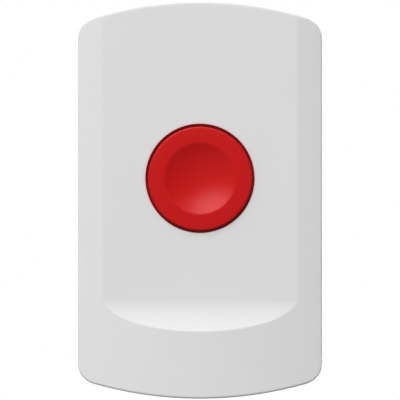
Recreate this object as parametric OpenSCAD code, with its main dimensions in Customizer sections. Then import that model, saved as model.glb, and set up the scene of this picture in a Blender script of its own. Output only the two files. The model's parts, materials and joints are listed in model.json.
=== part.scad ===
// Wall-mounted panic button: a front cover that clips on, with a large dished push button,
// over a base that carries the circuit board, the push switch and one lithium cell.
// Every piece is drawn lying on its back: X to the right, Y up the wall, Z out from the wall.
// on_wall() then stands it up, so that the front faces -Y and +Z is up.
// The origin is on the wall, half-way between the two wall screws.

/* [Housing] */
// Width of the housing across its straight sides
cover_w = 70; // [66:0.5:84]
// Height of the housing between the middles of its two end arcs
cover_h = 114; // [108:0.5:130]
// Radius of the arc along the top edge
top_arc_r = 104; // [80:1:160]
// Radius of the arc along the bottom edge
bottom_arc_r = 118; // [80:1:160]
// Radius of the four corners
corner_r = 5.7; // [4.2:0.1:8]
// Wall thickness of the front cover
cover_wall = 2; // [1.6:0.1:2.6]
// Radius of the barrel-shaped front, which is curved across the width
crown_r = 125; // [100:1:200]
// Width of the flat face that is cut into the barrel
face_w = 55; // [48:0.2:60]
// Distance from the top of the housing down to the foot of the ramp
ramp_drop = 85.8; // [80:0.2:92]
// Radius of the hollow ramp below the flat face
ramp_r = 18.4; // [12:0.2:24]
// Angle at which the ramp leaves the flat face
ramp_angle = 7; // [2:0.5:8]

/* [Button] */
// Diameter of the button
button_d = 29.2; // [26:0.2:34]
// Height of the button's axis above the middle of the housing
button_up = 6.2; // [4:0.1:9]
// Gap between the button and its hole, all round
button_gap = 0.85; // [0.25:0.05:1]
// Chamfer round the mouth of the button's hole
mouth_chamfer = 0.3; // [0.1:0.1:0.6]
// How far the button's rim stands out of the flat face
button_proud = 1.2; // [0.8:0.1:2]
// How far the button travels
button_travel = 1.5; // [0.6:0.1:2]
// Rounding of the button's rim
rim_round = 0.6; // [0.3:0.1:1]
// Diameter of the dish in the button
dish_d = 20.2; // [16:0.1:24]
// Depth of the dish
dish_depth = 2.5; // [0.8:0.1:2.8]
// Wall thickness of the button
cap_wall = 1.5; // [1.1:0.1:1.9]
// Width of the flange that keeps the button behind its hole
flange_w = 1.2; // [0.8:0.1:1.6]
// Thickness of that flange
flange_t = 1.5; // [1:0.1:2]
// Diameter of the button's stem
stem_d = 6; // [5:0.1:7]

/* [Retainer] */
// Thickness of the retainer plate behind the button
retainer_t = 1.6; // [1.2:0.1:2]
// Height of the hub that guides the stem
hub_h = 2.4; // [1.6:0.1:2.8]
// Wall thickness of the hub
hub_wall = 2; // [1.2:0.1:2.6]
// Length of the return spring with the button at rest
return_len = 5.6; // [5:0.1:6.2]
// Wire diameter of the return spring
return_wire = 0.8; // [0.5:0.1:0.9]
// Number of turns in the return spring
return_turns = 3.5; // [2.5:0.5:3.5]

/* [Base] */
// Depth of the base's rim, from the wall to the seam
base_rim = 5; // [4.5:0.1:6]
// How far the rim steps in behind the cover's edge
base_step = 0.8; // [0.4:0.1:1.2]
// Thickness of the base's floor
floor_t = 2; // [1.6:0.1:2.6]
// Width of the seam between the cover's edge and the rim
seam = 0.3; // [0.2:0.05:0.5]
// Height of the lip that goes up inside the cover
lip_h = 3; // [2.4:0.1:4]
// Thickness of the lip
lip_t = 1.2; // [1.2:0.1:1.6]
// Gap between the lip and the cover
lip_gap = 0.3; // [0.25:0.05:0.5]
// Length of the four snap ribs on the lip
snap_len = 7; // [4:0.5:12]
// Distance of the snap ribs above and below the middle
snap_y = 26; // [16:0.5:34]
// Distance between the two wall screws
screw_spacing = 83.3; // [80:0.1:88]
// Diameter of the holes for the wall screws
wall_screw_d = 4.4; // [3.6:0.1:5]
// Diameter kept free for the head of a wall screw
wall_head_d = 9; // [7:0.5:10]
// Width of the slot under the cover's lower edge, for prising the cover off
pry_w = 9; // [6:0.5:14]
// Height of that slot
pry_h = 1.6; // [1:0.1:2.2]
// Width of the two shallow recesses for tape on the back
tape_w = 40; // [20:1:50]
// Height of each tape recess
tape_h = 14; // [8:0.5:18]
// Depth of each tape recess
tape_depth = 0.5; // [0.3:0.1:0.8]

/* [Board and switch] */
// Width of the circuit board
board_w = 46; // [44:0.5:52]
// Thickness of the circuit board
board_t = 1.6; // [1:0.1:2]
// Height of the posts that the board stands on
standoff_h = 3; // [2:0.1:3.4]
// Width of the square push switch
switch_w = 8; // [6:0.1:9]
// Height of the switch's body
switch_h = 3.5; // [3:0.1:4]
// Diameter of the switch's plunger
plunger_d = 3.5; // [2.5:0.1:4]
// Width of the radio's metal shield
shield_w = 15; // [12:0.5:16]
// Length of the radio's metal shield
shield_l = 13; // [10:0.5:14]
// Width of the square microcontroller
chip_w = 7; // [5:0.5:8]
// Diameter of the storage capacitor
capacitor_d = 6.3; // [5:0.1:8]
// Outside diameter of the antenna's helix
antenna_d = 5; // [4:0.1:5.4]
// Wire diameter of the antenna
antenna_wire = 0.8; // [0.6:0.1:1]
// Number of turns in the antenna
antenna_turns = 12.5; // [8.5:1:13.5]
// Distance from one turn of the antenna to the next
antenna_pitch = 1.7; // [1.5:0.1:2]

/* [Cell] */
// Diameter of the lithium cell, over its sleeve
cell_d = 17; // [16:0.1:18.5]
// Length of the cell, over its positive button
cell_l = 34.5; // [30:0.1:36]
// Thickness of the cell's sleeve
sleeve_t = 0.15; // [0.1:0.05:0.3]
// Length of the negative contact's spring, as pressed by the cell
contact_len = 4; // [3.6:0.1:5]
// Wire diameter of that spring
contact_wire = 0.7; // [0.5:0.1:0.9]
// Wall thickness of the cell's holder
holder_wall = 1.4; // [1.2:0.1:1.8]
// Thickness of the contact strips
strip_t = 0.4; // [0.3:0.1:0.6]
// Width of the contact strips
strip_w = 9; // [7:0.5:11]

/* [Screws] */
// Thread diameter of the small screws
screw_d = 2.6; // [2:0.1:3]
// Head diameter of the small screws
screw_head_d = 5; // [4.4:0.1:5.6]
// Head height of the small screws
screw_head_h = 1.8; // [1.4:0.1:2]

/* [Hidden] */
$fn = 96;

// Small distances that many pieces share
spare = 1;            // how far a cutter runs past the face that it cuts
touch_gap = 0.05;     // between two pieces that touch at rest, and round what slides
pilot_slack = 0.05;   // between a screw's thread and its pilot hole
through_slack = 0.3;  // between a screw's thread and a hole that it passes through
stack_gap = 0.6;      // between neighbours inside the base
corner_bite = 0.02;   // lets a corner's arc cross the edges that it joins at a clean angle

// Depths, counted out from the wall: the cell sets how deep the housing is
cell_seat = 1.2;      // floor of the holder under the cell
cell_headroom = 0.4;  // between the cell and the cover
cell_z = floor_t + cell_seat + cell_d / 2;
face_inner_z = cell_z + cell_d / 2 + cell_headroom;
face_z = face_inner_z + cover_wall;
crown_z = face_z - sqrt(pow(crown_r, 2) - pow(face_w / 2, 2));
crest_z = crown_z + crown_r;
cover_edge_z = base_rim + seam;
board_z = floor_t + standoff_h;
board_top_z = board_z + board_t;
switch_top_z = board_top_z + switch_h;
switch_floor = 0.5;   // under the bore that the plunger slides in
plunger_end_gap = 0.2; // between the plunger and that floor at full travel
plunger_left = 0.4;   // what still stands out of the switch at full travel
plunger_top_z = switch_top_z + button_travel + plunger_left;

// The ramp's arc, seen from the side
ramp_y = cover_h / 2 - ramp_drop;
ramp_cy = ramp_y + ramp_r * sin(ramp_angle);
ramp_cz = face_z + ramp_r * cos(ramp_angle);

// Button
cap_r = button_d / 2;
hole_r = cap_r + button_gap;
cap_top_z = face_z + button_proud;
cap_under_z = cap_top_z - dish_depth - cap_wall;
dish_sphere_r = (pow(dish_d / 2, 2) + pow(dish_depth, 2)) / (2 * dish_depth);
flange_gap = 0.2;     // between the flange and the back of the flat face
flange_r = hole_r + flange_w;
flange_z = face_inner_z - flange_gap - flange_t;
skirt_below = 0.6;    // how far the skirt reaches past its flange
skirt_z = flange_z - skirt_below;
stem_tip_z = plunger_top_z + touch_gap;

// Retainer and its screws
retainer_top_z = cap_under_z - return_len;
retainer_z = retainer_top_z - retainer_t;
retainer_rim = 1;     // how far the retainer reaches past the flange
retainer_r = flange_r + retainer_rim;
hub_bore_r = stem_d / 2 + touch_gap;
hub_r = hub_bore_r + hub_wall;
coil_clear = 0.45;    // between the hub and the spring
return_mean_r = hub_r + coil_clear + return_wire / 2;
return_out_r = return_mean_r + return_wire / 2;
vent_count = 6;
vent_r = 2.4;         // lightening holes round the hub
vent_ring_r = (return_out_r + retainer_r) / 2;
post_wall = 1.7;
post_r = screw_d / 2 + post_wall;
post_clear = 2.15;    // between the flange and the posts
post_ring_r = flange_r + post_clear + post_r;
post_turns = [90, 210, 330];
lug_wall = 1.1;
lug_r = screw_head_d / 2 + lug_wall;
post_bite = 4;        // how far a screw's thread goes into its post

// Base
lip_out = cover_wall + lip_gap;
lip_in = lip_out + lip_t;
lip_top_z = base_rim + lip_h;
snap_r = 0.7;
snap_below = 1.2;     // from the lip's edge down to a snap rib
snap_z = lip_top_z - snap_below;
snap_proud = lip_gap - touch_gap;
snap_dent = 0.3;      // depth of the groove that a snap rib lies in
boss_h = 0.6;         // raised ring round a wall screw's hole
tape_y = 24;

// What stands up the wall inside the base, from the lower wall screw to the upper one
holder_slack = 0.25;  // between the cell and its holder
holder_half = cell_d / 2 + holder_slack + holder_wall;
cell_y = -screw_spacing / 2 + wall_head_d / 2 + stack_gap + holder_half;
board_low_y = cell_y + holder_half + stack_gap;
board_high_y = screw_spacing / 2 - wall_head_d / 2 - stack_gap;
board_h = board_high_y - board_low_y;
board_mid_y = (board_high_y + board_low_y) / 2;
board_corner_r = 2;
board_screw_in = 4;   // from the board's edge to a screw
tail_on_board = 3.5;  // how far the cell's contacts reach onto the board
board_screw_x = board_w / 2 - board_screw_in;
board_screw_ys = [
    board_low_y + tail_on_board + stack_gap + screw_head_d / 2,
    board_high_y - board_screw_in
];

// Parts on the board, set out from the switch and from the board's edges
part_gap = 3;
shield_h = 2.4;
shield_x = -board_w / 2 + part_gap + shield_w / 2;
shield_y = button_up + switch_w / 2 + part_gap + shield_l / 2;
leg_t = 0.3;
switch_leg_l = 1.6;
switch_leg_w = 1;
chip_leg_l = 0.9;
chip_leg_w = 0.35;
chip_leg_pitch = 0.8;
chip_h = 1.2;
chip_x = -board_screw_x + screw_head_d / 2 + stack_gap + chip_leg_l + chip_w / 2;
chip_y = button_up - switch_w / 2 - part_gap - chip_w / 2;
small_count = 6;
small_pitch = 2.6;
small_w = 1.2;
small_l = 2;
small_capacitor_h = 1;
small_resistor_h = 0.6;
small_first_x = chip_x + chip_w / 2 + chip_leg_l + part_gap;
small_y = chip_y + part_gap;
capacitor_x = board_w / 2 - 2 * part_gap - antenna_d - capacitor_d / 2;
antenna_lift = 0.4;   // between the helix and the board
antenna_mean_r = (antenna_d - antenna_wire) / 2;
antenna_x = board_w / 2 - part_gap - antenna_d / 2;
antenna_y = button_up - switch_w / 2;
antenna_z = board_top_z + antenna_lift + antenna_d / 2;

// Cell holder, centred on the cell and its spring
holder_end_x = (cell_l + contact_len) / 2 + strip_t + touch_gap;
cell_x = contact_len / 2;
cell_low_x = cell_x - cell_l / 2;
holder_rise = 3;      // how far the holder's sides rise past the cell's axis
peg_r = 1.25;
peg_h = 2.4;
peg_in = 4;           // from the holder's end to a peg
peg_x = holder_end_x - peg_in;
peg_off = 0.6;        // from the cell's side in to a peg's axis
peg_y = cell_d / 2 - peg_off;
strip_up = 6;         // how far a contact strip rises past the cell's axis
strip_down = 7;       // and how far it goes below it
tail_h = 2.4;
terminal_r = 3.2;
terminal_h = 1;
can_r = cell_d / 2 - sleeve_t - touch_gap;

// Stands a piece that was drawn on its back up against the wall
module on_wall() {
    rotate([90, 0, 0]) children();
}

// Copies its children to both sides of the upright centre plane
module both_sides() {
    for (side = [0, 1]) mirror([side, 0, 0]) children();
}

// Places its children on the button's axis
module at_button(z = 0) {
    translate([0, button_up, z]) children();
}

// Places its children on the retainer's three screws
module at_posts(z = 0) {
    for (turn = post_turns) at_button(z) rotate([0, 0, turn]) translate([post_ring_r, 0, 0]) children();
}

// Places its children on the board's four screws
module at_board_screws(z = 0) {
    for (x = [-board_screw_x, board_screw_x], y = board_screw_ys) translate([x, y, z]) children();
}

// Places its children on the four pegs under the cell's holder
module at_pegs(z = 0) {
    for (x = [-peg_x, peg_x], y = [-peg_y, peg_y]) translate([x, cell_y + y, z]) children();
}

// Places its children on the two wall screws
module at_wall_screws(z = 0) {
    for (side = [-1, 1]) translate([0, side * screw_spacing / 2, z]) children();
}

// Places its children on the four snap ribs, with out as their distance from the centre plane
module at_snaps(out) {
    for (y = [-snap_y, snap_y]) both_sides() translate([out, y, snap_z]) rotate([90, 0, 0]) children();
}

// What a corner loses where its arc takes over from the side and the end arc
module corner_cut(half_w, half_h, arc_r, r) {
    arc_y = half_h - arc_r;
    centre = [half_w - r, arc_y + sqrt(pow(arc_r - r, 2) - pow(half_w - r, 2))];
    outwards = [centre.x, centre.y - arc_y] / (arc_r - r);
    difference() {
        polygon([
            centre,
            [half_w + spare, centre.y],
            [half_w + spare, half_h + spare],
            centre + outwards * (r + spare)
        ]);
        translate(centre) circle(r + corner_bite);
    }
}

// Outline of the housing, stepped in all round by inset
module outline(inset = 0) {
    half_w = cover_w / 2 - inset;
    half_h = cover_h / 2 - inset;
    top_r = top_arc_r - inset;
    bottom_r = bottom_arc_r - inset;
    least_r = 0.4;
    fillet_r = max(corner_r - inset, least_r);
    difference() {
        intersection() {
            square([2 * half_w, 2 * (half_h + spare)], center = true);
            translate([0, half_h - top_r]) circle(top_r);
            translate([0, bottom_r - half_h]) circle(bottom_r);
        }
        for (side = [0, 1]) mirror([side, 0]) {
            corner_cut(half_w, half_h, top_r, fillet_r);
            mirror([0, 1]) corner_cut(half_w, half_h, bottom_r, fillet_r);
        }
    }
}

// The space in front of the flat face and its ramp
module face_space(inset = 0) {
    low_z = face_z - inset;
    rise = 2 * ramp_r;
    intersection() {
        union() {
            translate([-cover_w, ramp_cy, low_z - spare]) cube([2 * cover_w, cover_h, rise]);
            translate([0, ramp_cy, ramp_cz]) rotate([0, 90, 0])
                cylinder(r = ramp_r + inset, h = 2 * cover_w, center = true);
        }
        translate([-2 * cover_w, -cover_h, low_z]) cube([4 * cover_w, 3 * cover_h, rise]);
    }
}

// The cover as a solid block from low_z forwards, stepped in all round by inset
module cover_block(low_z, inset = 0) {
    difference() {
        intersection() {
            translate([0, 0, low_z]) linear_extrude(crest_z) outline(inset);
            translate([0, 0, crown_z]) rotate([90, 0, 0])
                cylinder(r = crown_r - inset, h = 2 * cover_h, center = true);
        }
        face_space(inset);
    }
}

// A plate with round corners
module round_plate(size, r) {
    translate([r - size.x / 2, -size.y / 2, 0]) cube([size.x - 2 * r, size.y, size.z]);
    translate([-size.x / 2, r - size.y / 2, 0]) cube([size.x, size.y - 2 * r, size.z]);
    for (x = [-1, 1], y = [-1, 1])
        translate([x * (size.x / 2 - r), y * (size.y / 2 - r), 0]) cylinder(r = r, h = size.z);
}

// A block that stands on z = 0, centred on the other two axes
module block(size) {
    translate([-size.x / 2, -size.y / 2, 0]) cube(size);
}

// A screw with its head's seat at z = 0, its thread along +Z and a cross recess in its head
module small_screw(length) {
    recess_w = 0.7;
    recess_l = 0.6 * screw_head_d;
    recess_depth = 0.55 * screw_head_h;
    crown_d = 0.8 * screw_head_d;
    cylinder(d = screw_d, h = length);
    difference() {
        translate([0, 0, -screw_head_h]) cylinder(d1 = crown_d, d2 = screw_head_d, h = screw_head_h);
        for (turn = [0, 90]) rotate([0, 0, turn]) translate([0, 0, -screw_head_h - spare])
            block([recess_l, recess_w, recess_depth + spare]);
    }
}

// Points of a coil that climbs along +Z from z = 0, its radius going from r_low to r_high
curl_rings = 8;
function coil(turns, climb, r_low, r_high) = [
    for (i = [0 : turns * curl_rings])
        let (part = i / (turns * curl_rings),
            turn = 360 * turns * part,
            r = r_low + (r_high - r_low) * part)
        [r * cos(turn), r * sin(turn), climb * part]
];

// Least gap of a coil's wire to itself, measured between points half a curl or more apart
function least_gap(path, wire_d) = min([
    for (i = [0 : len(path) - 1], j = [i + curl_rings / 2 : 1 : len(path) - 1]) norm(path[j] - path[i])
]) - wire_d;

// One unbroken tube of wire along a path, with square ends
wire_sides = 6;
function unit(v) = v / norm(v);
function tangent(path, i) = unit(path[min(i + 1, len(path) - 1)] - path[max(i - 1, 0)]);
function carried(normal, along) = unit(normal - (normal * along) * along);
function normals(path, first) = [
    for (i = 0, n = carried(first, tangent(path, 0));
        i < len(path);
        i = i + 1, n = i < len(path) ? carried(n, tangent(path, i)) : n) n
];
module wire(path, wire_d, first) {
    up = normals(path, first);
    rings = len(path);
    last = (rings - 1) * wire_sides;
    points = [
        for (i = [0 : rings - 1])
            let (across = cross(tangent(path, i), up[i]))
            for (s = [0 : wire_sides - 1])
                let (turn = 360 * s / wire_sides)
                path[i] + wire_d / 2 * (cos(turn) * up[i] + sin(turn) * across)
    ];
    skin = [
        for (i = [0 : rings - 2], s = [0 : wire_sides - 1])
            let (a = i * wire_sides + s, b = i * wire_sides + (s + 1) % wire_sides)
            each [[a, a + wire_sides, b], [b, a + wire_sides, b + wire_sides]]
    ];
    ends = [
        for (s = [1 : wire_sides - 2])
            each [[0, s, s + 1], [last, last + s + 1, last + s]]
    ];
    polyhedron(points, concat(skin, ends));
}

// Front cover: a barrel-fronted shell with a flat face, a hollow ramp and the button's hole
module front_cover() {
    post_low_z = retainer_top_z + touch_gap;
    post_h = face_inner_z - post_low_z;
    color("gainsboro") on_wall() difference() {
        union() {
            difference() {
                cover_block(cover_edge_z);
                cover_block(cover_edge_z - spare, cover_wall);
            }
            at_posts(post_low_z) cylinder(r = post_r, h = post_h + cover_wall / 2);
        }
        at_button() cylinder(r = hole_r, h = face_z + spare);
        at_button(face_z - mouth_chamfer - spare) cylinder(
            r1 = hole_r - spare,
            r2 = hole_r + mouth_chamfer + spare,
            h = mouth_chamfer + 2 * spare
        );
        at_posts(post_low_z - spare) cylinder(r = screw_d / 2 + pilot_slack, h = post_h + spare);
        at_snaps(cover_w / 2 - cover_wall + snap_dent - snap_r)
            cylinder(r = snap_r, h = snap_len + 2 * touch_gap, center = true);
    }
}

// Retainer: holds the button in from behind, guides its stem and carries the return spring
module button_retainer() {
    color("whitesmoke") on_wall() difference() {
        union() {
            at_button(retainer_z) cylinder(r = retainer_r, h = retainer_t);
            at_button(retainer_z) cylinder(r = hub_r, h = retainer_t + hub_h);
            at_posts(retainer_z) cylinder(r = lug_r, h = retainer_t);
            for (turn = post_turns) at_button(retainer_z) rotate([0, 0, turn])
                translate([0, -lug_r, 0]) cube([post_ring_r, 2 * lug_r, retainer_t]);
        }
        at_button(retainer_z - spare) cylinder(r = hub_bore_r, h = retainer_t + hub_h + 2 * spare);
        for (i = [0 : vent_count - 1]) at_button(retainer_z - spare)
            rotate([0, 0, post_turns[0] + 360 * (i + 0.5) / vent_count]) translate([vent_ring_r, 0, 0])
                cylinder(r = vent_r, h = retainer_t + 2 * spare);
        at_posts(retainer_z - spare) cylinder(r = screw_d / 2 + through_slack, h = retainer_t + 2 * spare);
    }
}

// Three screws that hold the retainer to the cover's posts
module retainer_screws() {
    color("silver") on_wall() at_posts(retainer_z) small_screw(retainer_t + post_bite);
}

// Return spring, round the retainer's hub and pressed between the retainer and the button
module return_spring() {
    climb = return_len - return_wire - 2 * touch_gap;
    path = coil(return_turns, climb, return_mean_r, return_mean_r);
    echo(str("return spring, least gap to itself: ", least_gap(path, return_wire)));
    color("silver") on_wall() at_button(retainer_top_z + touch_gap + return_wire / 2)
        wire(path, return_wire, [0, 0, 1]);
}

// Half of the button's section: dished crown, skirt, flange and stem
module cap_section() {
    difference() {
        union() {
            translate([0, skirt_z]) square([cap_r - rim_round, cap_top_z - skirt_z]);
            translate([0, skirt_z]) square([cap_r, cap_top_z - rim_round - skirt_z]);
            translate([cap_r - rim_round, cap_top_z - rim_round]) circle(rim_round);
            translate([0, flange_z]) square([flange_r, flange_t]);
            translate([0, stem_tip_z]) square([stem_d / 2, cap_under_z - stem_tip_z]);
        }
        translate([stem_d / 2, skirt_z - spare])
            square([cap_r - cap_wall - stem_d / 2, cap_under_z - skirt_z + spare]);
        translate([0, cap_top_z - dish_depth + dish_sphere_r]) circle(dish_sphere_r);
    }
}

// Button: the red cap that is pushed
module button_cap() {
    color("firebrick") on_wall() at_button() rotate_extrude() cap_section();
}

// Plunger of the push switch, which the button's stem rests on
module switch_plunger() {
    inside = switch_h - switch_floor - plunger_end_gap - button_travel;
    color("dimgray") on_wall() at_button(switch_top_z - inside)
        cylinder(d = plunger_d, h = plunger_top_z - switch_top_z + inside);
}

// Base: floor, rim and lip, with the posts, pegs, snap ribs and screw holes
module rear_base() {
    color("gainsboro") on_wall() difference() {
        union() {
            difference() {
                union() {
                    linear_extrude(base_rim) outline(base_step);
                    linear_extrude(lip_top_z) outline(lip_out);
                }
                translate([0, 0, floor_t]) linear_extrude(lip_top_z) outline(lip_in);
            }
            at_wall_screws() cylinder(d = wall_head_d, h = floor_t + boss_h);
            at_board_screws() cylinder(r = post_r, h = board_z);
            at_pegs() cylinder(r = peg_r, h = floor_t + peg_h);
            at_snaps(cover_w / 2 - lip_out + snap_proud - snap_r)
                cylinder(r = snap_r, h = snap_len, center = true);
        }
        at_wall_screws(-spare) cylinder(d = wall_screw_d, h = floor_t + boss_h + 2 * spare);
        at_board_screws(floor_t) cylinder(r = screw_d / 2 + pilot_slack, h = standoff_h + spare);
        for (side = [-1, 1]) translate([0, side * tape_y, -spare])
            block([tape_w, tape_h, tape_depth + spare]);
        translate([-pry_w / 2, -cover_h / 2 - spare, base_rim - pry_h])
            cube([pry_w, lip_out + spare, pry_h + spare]);
    }
}

// Circuit board
module circuit_board() {
    color("seagreen") on_wall() difference() {
        translate([0, board_mid_y, board_z]) round_plate([board_w, board_h, board_t], board_corner_r);
        at_board_screws(board_z - spare) cylinder(r = screw_d / 2 + through_slack, h = board_t + 2 * spare);
    }
}

// Four screws that hold the board to its posts
module board_screws() {
    color("silver") on_wall() at_board_screws(board_top_z) mirror([0, 0, 1])
        small_screw(board_t + standoff_h - touch_gap);
}

// Body of the push switch, bored for its plunger
module switch_body() {
    roof = 0.5;
    color("black") on_wall() at_button(board_top_z) difference() {
        union() {
            block([switch_w, switch_w, switch_h - roof]);
            translate([0, 0, switch_h - roof])
                round_plate([switch_w - 2 * roof, switch_w - 2 * roof, roof], roof);
        }
        translate([0, 0, switch_floor]) cylinder(d = plunger_d + 2 * touch_gap, h = switch_h);
    }
}

// Four soldered legs of the push switch
module switch_legs() {
    leg = [switch_leg_l, switch_leg_w, leg_t];
    color("silver") on_wall() for (x = [-1, 1], y = [-1, 1])
        at_button(board_top_z) translate([x * (switch_w + leg.x) / 2, y * switch_w / 4, 0]) block(leg);
}

// Metal shield over the radio
module radio_shield() {
    hole_d = 1;
    hole_pitch = 3;
    shield_corner_r = 0.8;
    color("lightgray") on_wall() translate([shield_x, shield_y, board_top_z]) difference() {
        round_plate([shield_w, shield_l, shield_h], shield_corner_r);
        for (x = [-1 : 1], y = [-1 : 1])
            translate([x * hole_pitch, y * hole_pitch, shield_h / 2]) cylinder(d = hole_d, h = shield_h);
    }
}

// Microcontroller, which stands on its legs
module microcontroller() {
    color("black") on_wall() translate([chip_x, chip_y, board_top_z + leg_t / 2])
        block([chip_w, chip_w, chip_h]);
}

// Legs round the microcontroller
module microcontroller_legs() {
    leg = [chip_leg_l, chip_leg_w, leg_t];
    row = floor(chip_w / chip_leg_pitch) - 1;
    color("silver") on_wall() translate([chip_x, chip_y, board_top_z])
        for (turn = [0 : 90 : 270], i = [0 : row - 1]) rotate([0, 0, turn])
            translate([(chip_w + leg.x) / 2, (i - (row - 1) / 2) * chip_leg_pitch, 0]) block(leg);
}

// Crystal that keeps the radio's time
module crystal() {
    length = 10.5;
    width = 3.8;
    height = 3.2;
    color("silver") on_wall() translate([shield_x, button_up, board_top_z]) {
        for (x = [-1, 1]) translate([x * (length - width) / 2, 0, 0]) cylinder(d = width, h = height);
        block([length - width, width, height]);
    }
}

// Capacitor that helps the cell through each transmission
module storage_capacitor() {
    can_h = 4.6;
    foot_h = 0.8;
    foot_rim = 0.15;
    foot_w = capacitor_d + 2 * foot_rim;
    foot_corner_r = 0.6;
    color("lightgray") on_wall() translate([capacitor_x, shield_y, board_top_z]) {
        round_plate([foot_w, foot_w, foot_h], foot_corner_r);
        cylinder(d = capacitor_d, h = foot_h + can_h);
    }
}

// A row of small parts below the switch
module small_row(height, y) {
    for (i = [0 : small_count - 1])
        translate([small_first_x + i * small_pitch, y, board_top_z]) block([small_w, small_l, height]);
}

// Small capacitors
module chip_capacitors() {
    color("tan") on_wall() small_row(small_capacitor_h, small_y);
}

// Small resistors
module chip_resistors() {
    color("black") on_wall() small_row(small_resistor_h, small_y - part_gap);
}

// Antenna: a helix of bare wire, whose ends go straight down to the board
module antenna() {
    helix = coil(antenna_turns, antenna_turns * antenna_pitch, antenna_mean_r, antenna_mean_r);
    laid = [for (p = helix) [antenna_x + p.x, antenna_y + p.z, antenna_z + p.y]];
    down = [0, 0, board_top_z - antenna_z];
    path = concat([laid[0] + down], laid, [laid[len(laid) - 1] + down]);
    echo(str("antenna, least gap to itself: ", least_gap(helix, antenna_wire)));
    color("goldenrod") on_wall() wire(path, antenna_wire, [1, 0, 0]);
}

// Holder that the cell is pressed into
module cell_holder() {
    top_z = cell_z + holder_rise;
    outer = [2 * (holder_end_x + holder_wall), 2 * holder_half, top_z - floor_t];
    slot_slack = 0.2;
    color("black") on_wall() difference() {
        translate([0, cell_y, floor_t]) block(outer);
        translate([0, cell_y, cell_z]) rotate([0, 90, 0])
            cylinder(r = cell_d / 2 + holder_slack, h = 2 * holder_end_x, center = true);
        both_sides() translate([holder_end_x - strip_t - slot_slack, cell_y, board_top_z - slot_slack])
            cube([strip_t + slot_slack, holder_half + spare, top_z]);
        at_pegs(floor_t - spare) cylinder(r = peg_r + touch_gap, h = peg_h + spare + touch_gap);
    }
}

// Lithium cell: its metal can with the positive button
module cell_can() {
    color("silver") on_wall() translate([cell_low_x, cell_y, cell_z]) rotate([0, 90, 0]) {
        cylinder(r = can_r, h = cell_l - terminal_h);
        cylinder(r = terminal_r, h = cell_l);
    }
}

// Plain sleeve round the cell
module cell_sleeve() {
    color("steelblue") on_wall() translate([cell_low_x, cell_y, cell_z]) rotate([0, 90, 0]) difference() {
        cylinder(d = cell_d, h = cell_l - terminal_h);
        translate([0, 0, -spare]) cylinder(d = cell_d - 2 * sleeve_t, h = cell_l + spare);
    }
}

// Contact strip in the right-hand end of the holder, with a tail that is soldered to the board
module contact_strip() {
    translate([holder_end_x - strip_t, cell_y, cell_z]) {
        translate([0, -strip_w / 2, -strip_down]) cube([strip_t, strip_w, strip_up + strip_down]);
        translate([0, 0, board_top_z - cell_z])
            cube([strip_t, holder_half + stack_gap + tail_on_board, tail_h]);
    }
}

// Contact that the cell's positive button presses on
module positive_contact() {
    color("silver") on_wall() contact_strip();
}

// Contact that carries the negative spring
module negative_contact() {
    color("silver") on_wall() mirror([1, 0, 0]) contact_strip();
}

// Tapered spring that presses the cell against the positive contact
module contact_spring() {
    wide_r = 5;
    narrow_r = 2.4;
    turns = 3;
    path = coil(turns, contact_len - contact_wire - touch_gap, wide_r, narrow_r);
    echo(str("contact spring, least gap to itself: ", least_gap(path, contact_wire)));
    color("silver") on_wall() translate([-holder_end_x + strip_t + contact_wire / 2, cell_y, cell_z])
        rotate([0, 90, 0]) wire(path, contact_wire, [0, 0, 1]);
}

front_cover();
button_retainer();
retainer_screws();
return_spring();
button_cap();
switch_plunger();
rear_base();
circuit_board();
board_screws();
switch_body();
switch_legs();
radio_shield();
microcontroller();
microcontroller_legs();
crystal();
storage_capacitor();
chip_capacitors();
chip_resistors();
antenna();
cell_holder();
cell_can();
cell_sleeve();
positive_contact();
negative_contact();
contact_spring();
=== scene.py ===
# %% [markdown]
# # A wall-mounted panic button
# The part arrives at its real size: a white housing with a flat face and one large red button, clipped
# over a base with a circuit board, a push switch and a cell. This file gives every piece the finish that
# it has on the real object. New pieces are drawn where the pieces that they stand for lie, so nothing is
# moved or scaled to fit.

# %% Load the frame
import json
import math

import bmesh
import bpy
import numpy as np
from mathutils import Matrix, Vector


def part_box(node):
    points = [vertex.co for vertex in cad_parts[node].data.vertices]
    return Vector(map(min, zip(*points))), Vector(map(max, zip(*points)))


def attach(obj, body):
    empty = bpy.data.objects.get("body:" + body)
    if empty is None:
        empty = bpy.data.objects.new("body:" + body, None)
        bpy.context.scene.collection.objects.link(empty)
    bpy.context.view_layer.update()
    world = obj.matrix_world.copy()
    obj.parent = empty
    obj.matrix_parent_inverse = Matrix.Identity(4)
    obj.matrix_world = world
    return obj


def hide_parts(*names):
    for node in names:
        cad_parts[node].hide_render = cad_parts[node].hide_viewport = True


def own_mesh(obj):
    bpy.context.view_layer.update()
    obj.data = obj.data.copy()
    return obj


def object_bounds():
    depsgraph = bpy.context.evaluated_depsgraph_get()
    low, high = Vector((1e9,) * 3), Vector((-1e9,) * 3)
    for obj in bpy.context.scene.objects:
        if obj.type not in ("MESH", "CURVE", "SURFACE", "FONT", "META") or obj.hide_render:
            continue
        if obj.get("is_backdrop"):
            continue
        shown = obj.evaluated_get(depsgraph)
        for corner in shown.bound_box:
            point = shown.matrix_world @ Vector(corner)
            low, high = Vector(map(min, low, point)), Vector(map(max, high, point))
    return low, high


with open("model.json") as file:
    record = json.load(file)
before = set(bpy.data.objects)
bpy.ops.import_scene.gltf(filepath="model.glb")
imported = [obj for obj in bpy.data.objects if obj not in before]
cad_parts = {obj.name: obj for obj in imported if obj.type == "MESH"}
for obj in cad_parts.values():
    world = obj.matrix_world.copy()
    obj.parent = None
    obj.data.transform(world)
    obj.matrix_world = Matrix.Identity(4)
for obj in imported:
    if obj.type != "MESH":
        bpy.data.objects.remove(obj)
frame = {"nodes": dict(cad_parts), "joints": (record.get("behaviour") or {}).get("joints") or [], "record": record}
cad_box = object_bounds()
nodes = frame["nodes"]
MM = 0.001
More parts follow.
